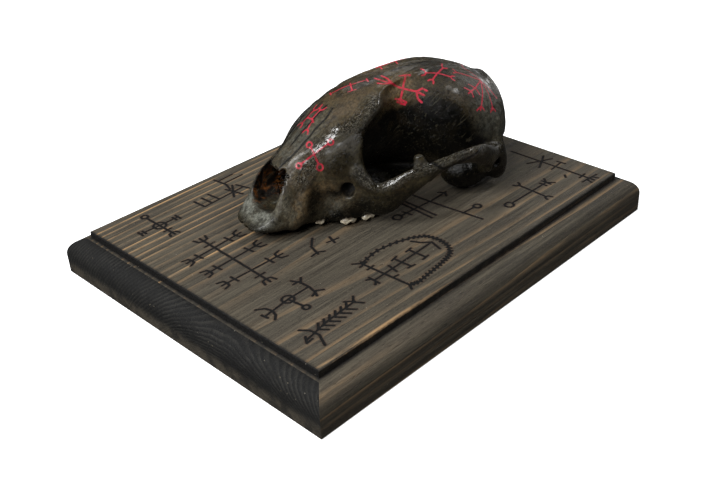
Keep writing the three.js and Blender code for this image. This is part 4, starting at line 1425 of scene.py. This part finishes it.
def channel(width, low, high, start, end):
    """A closed slot with round ends, in millimetres."""
    bm = bmesh.new()
    sides = 24
    right = np.linspace(-math.pi / 2, math.pi / 2, sides + 1)
    left = np.linspace(math.pi / 2, math.pi * 1.5, sides + 1)
    outline = [(end + width / 2 * math.cos(a), width / 2 * math.sin(a)) for a in right]
    outline += [(start + width / 2 * math.cos(a), width / 2 * math.sin(a)) for a in left]
    if start == end:
        outline = outline[:sides] + outline[sides + 1:-1]
    bottom = [bm.verts.new((x * MM, y * MM, low * MM)) for x, y in outline]
    top = [bm.verts.new((x * MM, y * MM, high * MM)) for x, y in outline]
    bm.faces.new(bottom[::-1])
    bm.faces.new(top)
    for i in range(len(outline)):
        n = (i + 1) % len(outline)
        bm.faces.new((bottom[i], bottom[n], top[n], top[i]))
    bmesh.ops.recalc_face_normals(bm, faces=bm.faces)
    mesh = bpy.data.meshes.new("channel")
    bm.to_mesh(mesh)
    bm.free()
    return new_object("channel", mesh)


def barbed(side):
    """A bent line with barbs that lean back."""
    lines = []
    rows = eased([(x, y, 0, 0, 0) for x, y in side], 3)
    for q, r in zip(rows[:-1], rows[1:]):
        length = math.hypot(r[0] - q[0], r[1] - q[1])
        ux, uy = (r[0] - q[0]) / length, (r[1] - q[1]) / length
        foot = (q[0] + uy * 0.9, q[1] - ux * 0.9)
        tip = (q[0] + ux * 0.9 - uy * 0.7, q[1] + uy * 0.9 + ux * 0.7)
        lines.append([foot, tip])
    return lines


def stave_strokes():
    """The burnt marks, as lines of (x, y) places on the board."""
    s = [ring(-66, 48, 2.6, 12), ring(-66.8, -29.4, 2.3, 12)]
    s += [ring(x, y, r) for x, y, r in ((27.4, -39, 1.6), (0, -20.4, 1.9), (36.4, -48.2, 1.9))]

    # In front of the skull on its right: a wheel with four arms, and leaning bars beside it
    s += arms((-66, 48), ((-66, 57), "ring", 1.8), ((-66, 40), "trident", 2.2),
              ((-75, 48.4), "bars", 2), ((-57, 48), "bars", 2))
    s += [
        [(-45, 53), (-44.6, 46.2), (-24, 47.4)], [(-41, 53.2), (-40.6, 46.6)], [(-37.2, 53.6), (-36.6, 47)],
        [(-29.6, 51.4), (-27.4, 42.6)], [(-31.4, 43.4), (-25.4, 52)], [(-24, 51.2), (-22, 43.6)],
        [(-27.4, 62), (-26.6, 54.6), (-28.2, 50)], [(-27, 59.6), (-19, 60)], [(-26.6, 56), (-16.4, 56.4)]]

    # In front, at the middle: a staff with three crossing arms
    s += arms((-62.6, 5), ((-61.9, 24.6), "trident", 2.9), ((-63.4, -13.6), "trident", 2.7))
    crossings = (((-73.4, 17), (-51.2, 18.6)), ((-73.6, 5.6), (-51, 6.6)), ((-74.2, -5), (-50.8, -5.4)))
    for left, right in crossings:
        middle = ((left[0] + right[0]) / 2, (left[1] + right[1]) / 2)
        s += arms(middle, (left, "trident", 2.6), (right, "trident", 2.8))

    # In front, left of the middle: a ring with arms that end in bows
    s += arms((-66.8, -29.4), ((-57.4, -29.2), "line", 1), ((-66, -36.4), "ring", 1.7),
              ((-79, -31), "bar", 1.6))
    s += [
        [(-58.4, -21.6), (-56.8, -25), (-56.6, -29.2), (-57.4, -33), (-58.6, -35.6)],
        [(-59.4, -24), (-56.9, -24)], [(-54.6, -22.8), (-57, -25.4)], [(-57, -32.8), (-54.4, -34.6)],
        [(-57.2, -33.4), (-59.8, -34.4)],
        [(-78.6, -25.6), (-75.8, -27.6), (-75, -30.4), (-75.8, -33), (-77.8, -35)]]

    # Front left corner: an arrow with a feathered shaft
    s += [
        [(-53, -48), (-66, -49), (-78, -51.4)],
        [(-76.6, -45.6), (-74.2, -48.4), (-73.8, -52.6), (-76.4, -58)],
        [(-77.6, -49.8), (-79.6, -52.8), (-76.8, -52.4)]]
    for k in range(6):
        x = -72 + 2.9 * k
        y = -50.2 + 0.2 * k
        s += [[(x + 2.4, y + 2.7), (x, y)], [(x + 2.2, y - 2.6), (x, y)]]
    s += [[(-53, -48), (-50.6, -45.4)], [(-53, -48), (-51, -51)], [(-55, -45.4), (-52.4, -48)]]

    # Beside the snout: a hook and a small cross
    s += [
        [(-33, -6), (-37.6, -10.4), (-39.4, -16)], [(-42, -15.4), (-38.8, -14.8), (-36.4, -16.4)],
        [(-29.6, -15), (-28, -10.4)], [(-31.4, -12.6), (-26.4, -13.6)]]

    # Left of the snout: a barbed loop round a crossed bar
    s += [BARBED_LEFT, BARBED_RIGHT]
    s += [
        [(-36, -30.8), (-33.6, -33), (-33, -44), (-32.4, -55.6), (-33.8, -58)],
        [(-35.6, -34.4), (-31.6, -33.6)], [(-35, -37.6), (-31.8, -37.4)]]
    s += barbed(BARBED_LEFT) + barbed(BARBED_RIGHT)
    s += [
        [(-38.6, -44.2), (-30, -44), (-15.4, -43.4), (-6.6, -43)], [(-38.4, -41.4), (-38.6, -46.8)],
        [(-40.2, -42), (-38.5, -43)], [(-40.2, -46.4), (-38.5, -45)], [(-23.4, -40), (-23, -48.2)],
        [(-24.8, -40.2), (-21.8, -39.6)], [(-24.6, -48), (-21.4, -48.4)], [(-15.2, -40.2), (-14.8, -48)],
        [(-16.8, -40.2), (-13.8, -39.8)], [(-16.6, -48.4), (-13.4, -48)], [(-28, -41.6), (-29, -46.4)],
        [(-32.8, -48), (-30.4, -48.4)], [(-10, -36.6), (-8.4, -40), (-5.4, -43), (-7, -48.4)]]

    # Left of the cheek: staves with side arms
    s += [
        [(17.6, -13), (18.4, -26), (20.6, -47)], [(19.4, -38), (26, -38.6)], [(18, -22), (26, -21.8)],
        [(26, -19.6), (27.8, -21.8), (26.2, -24)], [(26, -21.8), (28.4, -21.6)], [(9.4, -13), (8.6, -31)],
        [(11.6, -13), (11.2, -31)], [(1.8, -20.6), (17.8, -21.8)], [(4.6, -18.8), (5.2, -23.4)]]

    # Back left: a ring with a crossed shaft, and a tall stave
    s += ended((38.2, -48.2), (61.4, -48.6), "bars", 2.4)
    s += arms((51.8, -48.4), ((52.2, -41.6), "fork", 2), ((51.4, -55.4), "fork", 2))
    s += [[(61.4, -48.6), (63.6, -46)], [(61.4, -48.6), (63.6, -51.4)], [(75.8, -20), (75.9, -59)]]
    s += ended((75.9, -56), (75.9, -60), "trident", 2.6)
    s += [
        [(70.6, -32.4), (75.9, -35.4), (81, -38)], [(70.8, -38.6), (81, -33.6)],
        [(72.8, -43.6), (79.4, -43)], [(80.4, -41.2), (80.8, -45)],
        [(70.4, -52.2), (71.8, -50.8)], [(71.4, -59.8), (80.6, -60.6)]]
    return s


def plaque_body():
    """The routed edge with its face, back and keyhole slot, as points in millimetres and triangles."""
    bm = bmesh.new()
    bm.from_mesh(routed_edge())
    x_half = (PLAQUE_LENGTH / 2 - FIELD_INSET - RIM_EASE) * MM
    y_half = (PLAQUE_WIDTH / 2 - FIELD_INSET - RIM_EASE) * MM
    grid = []
    for j in range(ACROSS + 1):
        for i in range(ALONG + 1):
            place = (x_half * (2 * i / ALONG - 1), y_half * (2 * j / ACROSS - 1), PLAQUE_THICKNESS * MM)
            grid.append(bm.verts.new(place))
    for j in range(ACROSS):
        for i in range(ALONG):
            a = j * (ALONG + 1) + i
            bm.faces.new((grid[a], grid[a + 1], grid[a + ALONG + 2], grid[a + ALONG + 1]))
    bmesh.ops.remove_doubles(bm, verts=bm.verts, dist=2e-6)
    bmesh.ops.contextual_create(bm, geom=[e for e in bm.edges if e.is_boundary])
    bmesh.ops.recalc_face_normals(bm, faces=bm.faces)
    mesh = bpy.data.meshes.new("plaque_body")
    bm.to_mesh(mesh)
    bm.free()
    body = new_object("plaque_body", mesh)
    end = KEYHOLE_X + KEYHOLE_TRAVEL
    cutters = [
        channel(KEYHOLE_ENTRY, -1, KEYHOLE_DEPTH, KEYHOLE_X, KEYHOLE_X),
        channel(KEYHOLE_NECK, -1, KEYHOLE_LIP + 1, KEYHOLE_X, end),
        channel(KEYHOLE_ENTRY, KEYHOLE_LIP, KEYHOLE_DEPTH - 0.01, KEYHOLE_X, end)]
    for cutter in cutters:
        modifier = body.modifiers.new("keyhole", "BOOLEAN")
        modifier.operation = "DIFFERENCE"
        modifier.object = cutter
        modifier.solver = "EXACT"
    cut = evaluated_mesh(body)
    for obj in [body] + cutters:
        bpy.data.objects.remove(obj)
    bm = bmesh.new()
    bm.from_mesh(cut)
    bmesh.ops.triangulate(bm, faces=bm.faces)
    points = np.array([v.co for v in bm.verts]) / MM
    bm.verts.index_update()
    faces = np.array([[v.index for v in f.verts] for f in bm.faces])
    bm.free()
    return points, faces


def build_plaque():
    points, faces = plaque_body()
    strokes = stave_strokes()

    def burn_at(p):
        """Distance from the nearest burnt stroke, on the face alone."""
        far = np.full(len(p), 9.0)
        i = np.flatnonzero(p[:, 2] > PLAQUE_THICKNESS - 0.05)
        far[i] = np.minimum(off_strokes(p[i, 0], p[i, 1], strokes), 9)
        return far

    for limit in BURNT_EDGES:
        points, faces = finer(points, faces, lambda middle: burn_at(middle) < 0.95, limit)
    burn = burn_at(points)
    # Where the painted shadow lies, in the corner of the step round the face
    inside = np.minimum(PLAQUE_LENGTH / 2 - np.abs(points[:, 0]), PLAQUE_WIDTH / 2 - np.abs(points[:, 1]))
    on_step = (points[:, 2] > PLAQUE_THICKNESS - 4) * (points[:, 2] < PLAQUE_THICKNESS + 0.1)
    step = np.clip(1.25 - np.abs(inside - FIELD_INSET + 0.3), 0, 1) * on_step
    points[:, 2] -= BURN_DEPTH * np.clip(1 - burn / BURN_HALF, 0, 1) ** 0.8
    obj = make_piece("plaque_wood", points * MM, faces, WOOD, {"burn": burn, "step_shadow": step}, sharp=40)
    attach(obj, "root")
    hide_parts("plaque")


# Light, floor and finish

FLOOR_UNSEEN, FLOOR_SEEN = (0.02, 0.02, 0.02, 1), (0.86, 0.86, 0.86, 1)
WORLD_UNSEEN, WORLD_SEEN = 0.012, 1.3

# Each light: what it looks at, its compass angle and height in degrees, its distance, size and power

LIGHTS = {
    "key": ((0, 0, 0.04), -163, 41, 0.9, (0.4, 0.3), 7.2),
    "strip": ((0, 0, 0.04), 160, 48, 0.9, (0.12, 0.66), 7),
    "fill": ((0.03, 0, 0.02), -40, 52, 1.3, (0.4, 0.3), 6.4),
    "back": ((0.03, 0, 0.06), 48, 34, 0.9, (0.5, 0.2), 0.9),
    "rim": ((0.02, 0, 0.05), 8, 8, 0.9, (0.4, 0.1), 0.8)}


def softbox(name, aim, azimuth, elevation, distance, size, power):
    """An area light that looks at aim from a compass angle, both in degrees."""
    a, e = math.radians(azimuth), math.radians(elevation)
    way = Vector((math.cos(a) * math.cos(e), math.sin(a) * math.cos(e), math.sin(e)))
    data = bpy.data.lights.new(name, "AREA")
    data.shape = "RECTANGLE"
    data.size, data.size_y = size
    data.energy = power
    obj = bpy.data.objects.new(name, data)
    obj.location = Vector(aim) + way * distance
    obj.rotation_euler = (-way).to_track_quat("-Z", "Y").to_euler()
    scene.collection.objects.link(obj)


def build_stage():
    """A floor and a world that look white to the camera and dark to other rays, and the lights."""
    mesh = bpy.data.meshes.new("floor")
    bm = bmesh.new()
    bmesh.ops.create_grid(bm, x_segments=1, y_segments=1, size=6)
    bm.to_mesh(mesh)
    bm.free()
    material, g, shader = new_material("pale_floor")
    seen = g.node("ShaderNodeLightPath").outputs["Is Camera Ray"]
    g.feed(shader.inputs["Base Color"], g.mix(seen, FLOOR_UNSEEN, FLOOR_SEEN))
    shader.inputs["Roughness"].default_value = 0.9
    shader.inputs["Emission Color"].default_value = (1, 1, 1, 1)
    g.feed(shader.inputs["Emission Strength"], g.span(seen, 0.0, 1.0, 0.0, 0.75))
    mesh.materials.append(material)
    floor = new_object("floor", mesh)
    world = bpy.data.worlds.new("studio")
    world.use_nodes = True
    scene.world = world
    w = Graph(world.node_tree)
    background = world.node_tree.nodes["Background"]
    seen = w.node("ShaderNodeLightPath").outputs["Is Camera Ray"]
    background.inputs["Color"].default_value = (1, 1, 1, 1)
    w.feed(background.inputs["Strength"], w.span(seen, 0.0, 1.0, WORLD_UNSEEN, WORLD_SEEN))
    for name, (aim, azimuth, elevation, distance, size, power) in LIGHTS.items():
        softbox(name, aim, azimuth, elevation, distance, size, power)


build_cranium()
build_nose_plates()
build_teeth()
build_plaque()
build_stage()
